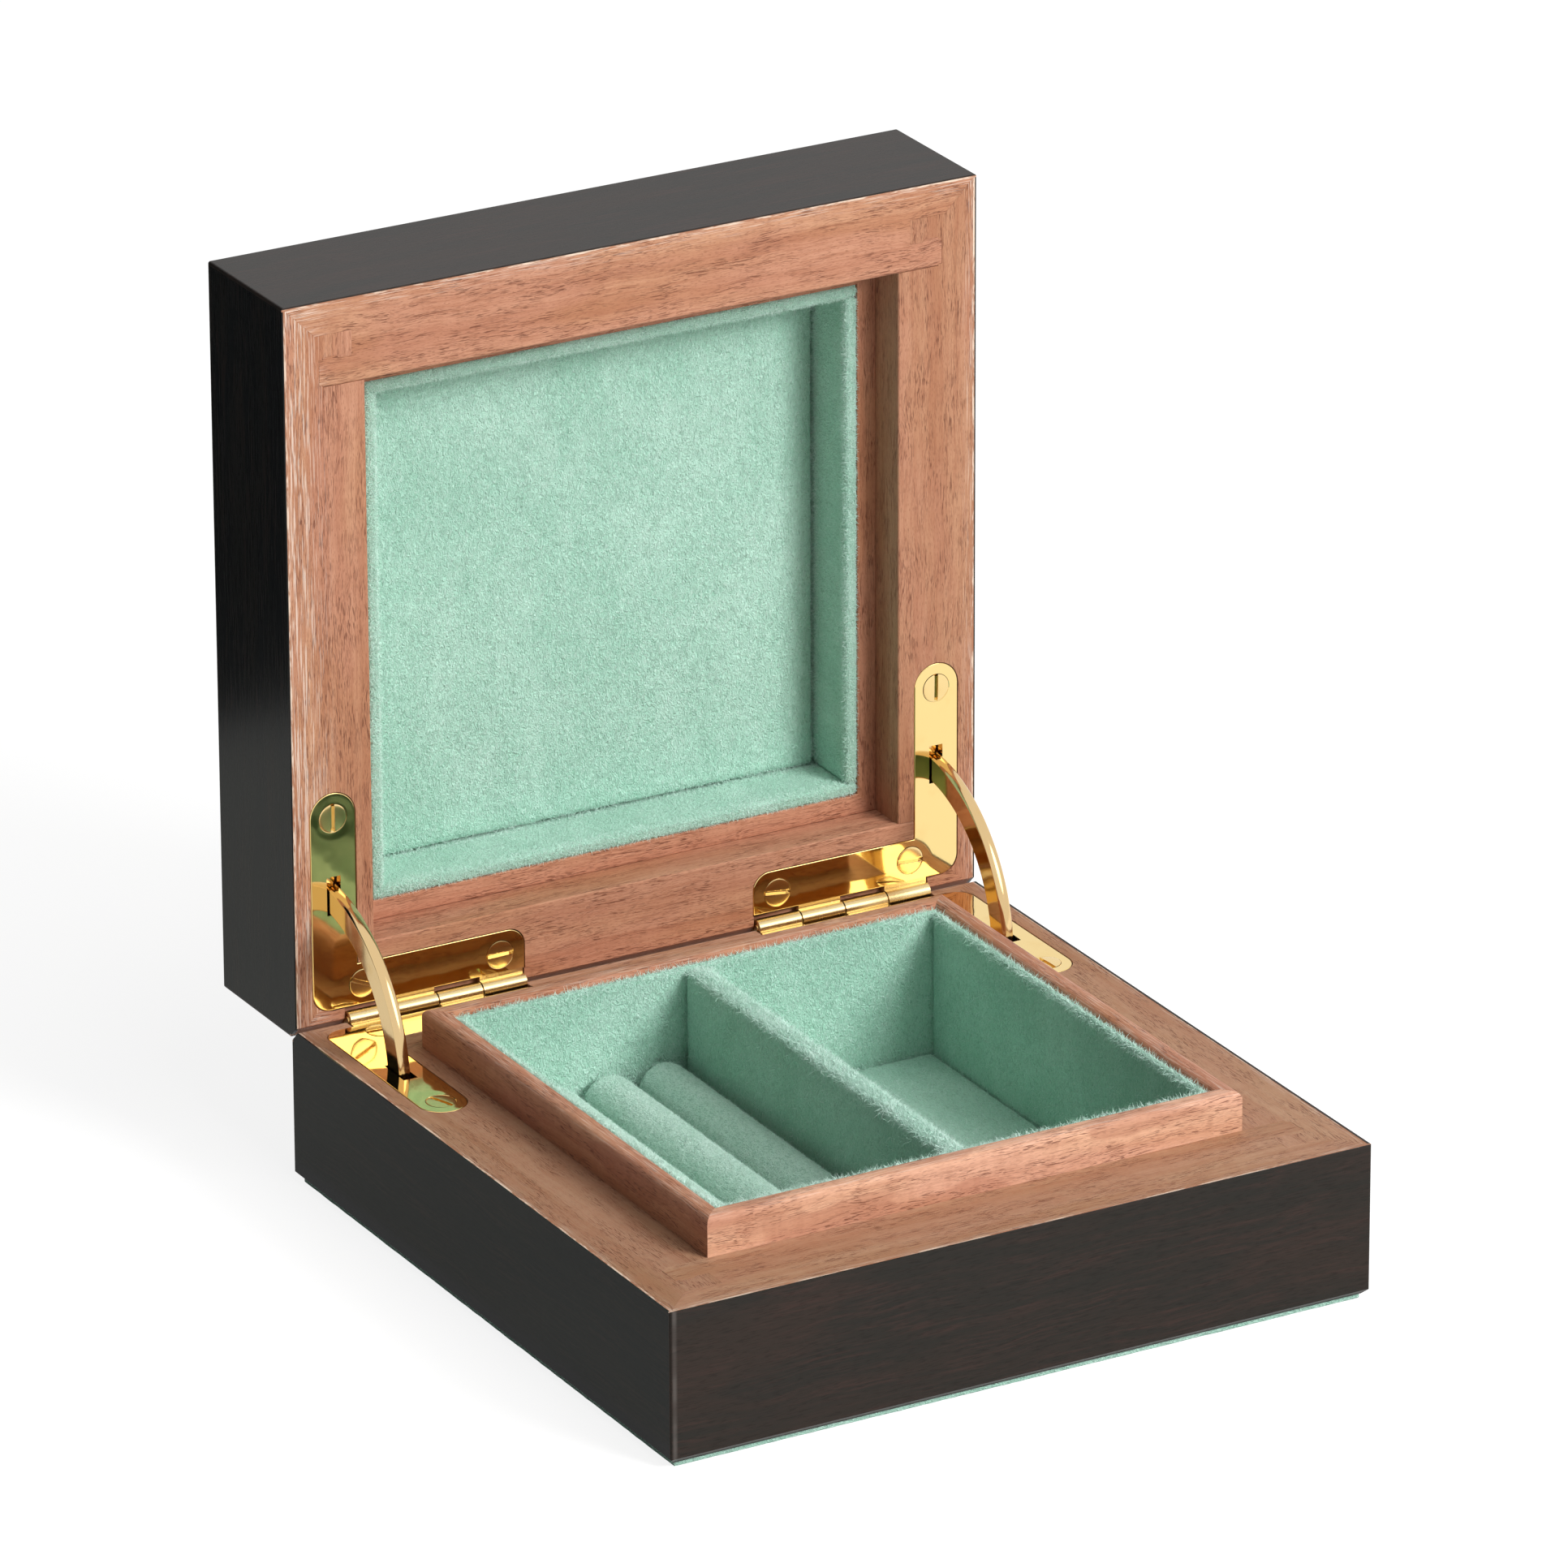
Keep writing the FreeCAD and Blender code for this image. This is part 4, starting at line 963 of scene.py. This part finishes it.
driver = screw_tree()
sizes = {"Head": 2.9 * MM, "Crown": 0.12 * MM, "Shank": 1.2 * MM, "Length": 12 * MM,
         "Slot": 0.8 * MM, "Depth": 0.6 * MM, "Brass": screw_brass}
for half, screws in (("base", base_screws), ("lid", lid_screws)):
    stand = Matrix() if half == "base" else Matrix.Rotation(math.radians(90), 4, "X")
    points = bpy.data.meshes.new("screws_" + half)
    points.from_pydata([[c * MM for c in ((x, v, base_rim) if half == "base"
                                          else (x, lid_rim, v))]
                        for x, v, *_ in screws], [], [])
    stances = []
    for x, v, slot_turn, lean_x, lean_y in screws:
        turned = (stand @ Matrix.Rotation(math.radians(slot_turn), 4, "Z")
                  @ Matrix.Rotation(math.radians(lean_x), 4, "X")
                  @ Matrix.Rotation(math.radians(lean_y), 4, "Y"))
        stances.extend(turned.to_euler())
    points.attributes.new("stance", "FLOAT_VECTOR", "POINT").data.foreach_set("vector", stances)
    group = bpy.data.objects.new("screws_" + half, points)
    bpy.context.scene.collection.objects.link(group)
    grown(group, "screws", driver, sizes)
    arris(group, 0.07, segments=2)
    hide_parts("hinge_left_%s_screws" % half, "hinge_right_%s_screws" % half)
    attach(group, half)

# ---- Table, light and camera -----------------------------------------------------------
# A plain white table and surround, a large soft lamp from the front right with a fainter
# one that brass mirrors, a lamp overhead, and two glowing cards that only reflections see:
# a dark one behind at the left, and a pale one on the table at the left, a painted shadow.


def in_sight(bench):
    """1 for what the camera sees, straight, mirrored or through glass, 0 for other rays."""
    camera, mirrored, through = [bench.node("ShaderNodeLightPath", output=ray)
                                 for ray in (0, 3, 6)]
    return camera + mirrored + through


floor_shape = bmesh.new()
bmesh.ops.create_grid(floor_shape, x_segments=1, y_segments=1, size=6)
floor_paint = bpy.data.materials.new("table_white")
floor = coated(placed(floor_shape, "table"), floor_paint)
bench = bare(floor_paint)
matt = bench.node("ShaderNodeBsdfDiffuse", None, {0: colour(240, 240, 238)})
faint = bench.node("ShaderNodeBsdfDiffuse", None, {0: colour(150, 150, 149)})
glow = bench.node("ShaderNodeEmission", None, {0: (1, 1, 1, 1), 1: 0.86})
lifted = bench.node("ShaderNodeAddShader", None, {0: faint, 1: glow})
mixed = bench.node("ShaderNodeMixShader", None, {0: in_sight(bench), 1: matt, 2: lifted})
mixed.reach("ShaderNodeOutputMaterial")

world = bpy.data.worlds.new("studio")
bpy.context.scene.world = world
bench = bare(world)
dim = bench.node("ShaderNodeBackground", None, {0: (1, 1, 1, 1), 1: 0.125})
white = bench.node("ShaderNodeBackground", None, {0: (1, 1, 1, 1), 1: 1.0})
sky = bench.node("ShaderNodeMixShader", None, {0: in_sight(bench), 1: dim, 2: white})
sky.reach("ShaderNodeOutputWorld")


def lamp(name, place, size, power, mirrored=True):
    """A round soft lamp, in metres and watts, that shines on the middle of the box."""
    aim = Vector((0, 0, 0.08))
    light = bpy.data.lights.new(name, "AREA")
    light.shape = "DISK"
    light.size = size
    light.energy = power
    holder = bpy.data.objects.new(name, light)
    bpy.context.scene.collection.objects.link(holder)
    holder.location = place
    holder.visible_glossy = mirrored
    holder.rotation_euler = (aim - Vector(place)).to_track_quat("-Z", "Y").to_euler()


lamp("key", (0.82, -1.58, 1.2), 0.9, 38, mirrored=False)
lamp("key_softbox", (0.88, -1.6, 1.26), 1.2, 9)
lamp("overhead", (0.15, -0.6, 1.65), 0.9, 8, mirrored=False)


def card(name, corners, pale, dark):
    """A card that glows evenly, though it is no lamp, and that only reflections see."""
    shape = bmesh.new()
    shape.faces.new([shape.verts.new(corner) for corner in corners])
    coat = bpy.data.materials.new(name)
    flat = coated(placed(shape, name), coat)
    bench = bare(coat)
    mottle = bench.node("ShaderNodeTexCoord", output=3).stretched("x", 90, 90).cloud(1)
    hue = mottle.between(0.3, 0.7).mix(pale, dark)
    bench.node("ShaderNodeEmission", None, {0: hue}).reach("ShaderNodeOutputMaterial")
    flat.visible_camera = flat.visible_diffuse = flat.visible_shadow = False


card("dark_card", [(-0.6, 0.29, 0), (-0.12, 0.29, 0), (-0.12, 0.29, 0.7), (-0.6, 0.29, 0.7)],
     colour(12, 18, 24), colour(8, 14, 20))
# A pale glowing card on the table to the left, where the box's shadow falls: reflections see it in
# place of the table, as a painted shadow.
card("painted_shadow_card", [(-0.32, -0.12, 0.0005), (-0.08, -0.12, 0.0005), (-0.08, 0.28, 0.0005),
                   (-0.32, 0.28, 0.0005)], colour(242, 243, 237), colour(232, 233, 227))

camera = bpy.data.cameras.new("camera")
camera.sensor_fit = "HORIZONTAL"
camera.sensor_width = 36
camera.lens = 283.665
camera.clip_start = 0.1
camera.clip_end = 60
viewer = bpy.data.objects.new("camera", camera)
bpy.context.scene.collection.objects.link(viewer)
viewer.location = (-1.06653, -1.86958, 0.98091)
viewer.rotation_euler = [math.radians(a) for a in (67.6109, 0.1726, -29.5678)]
bpy.context.scene.camera = viewer
bpy.context.scene.view_settings.view_transform = "Standard"
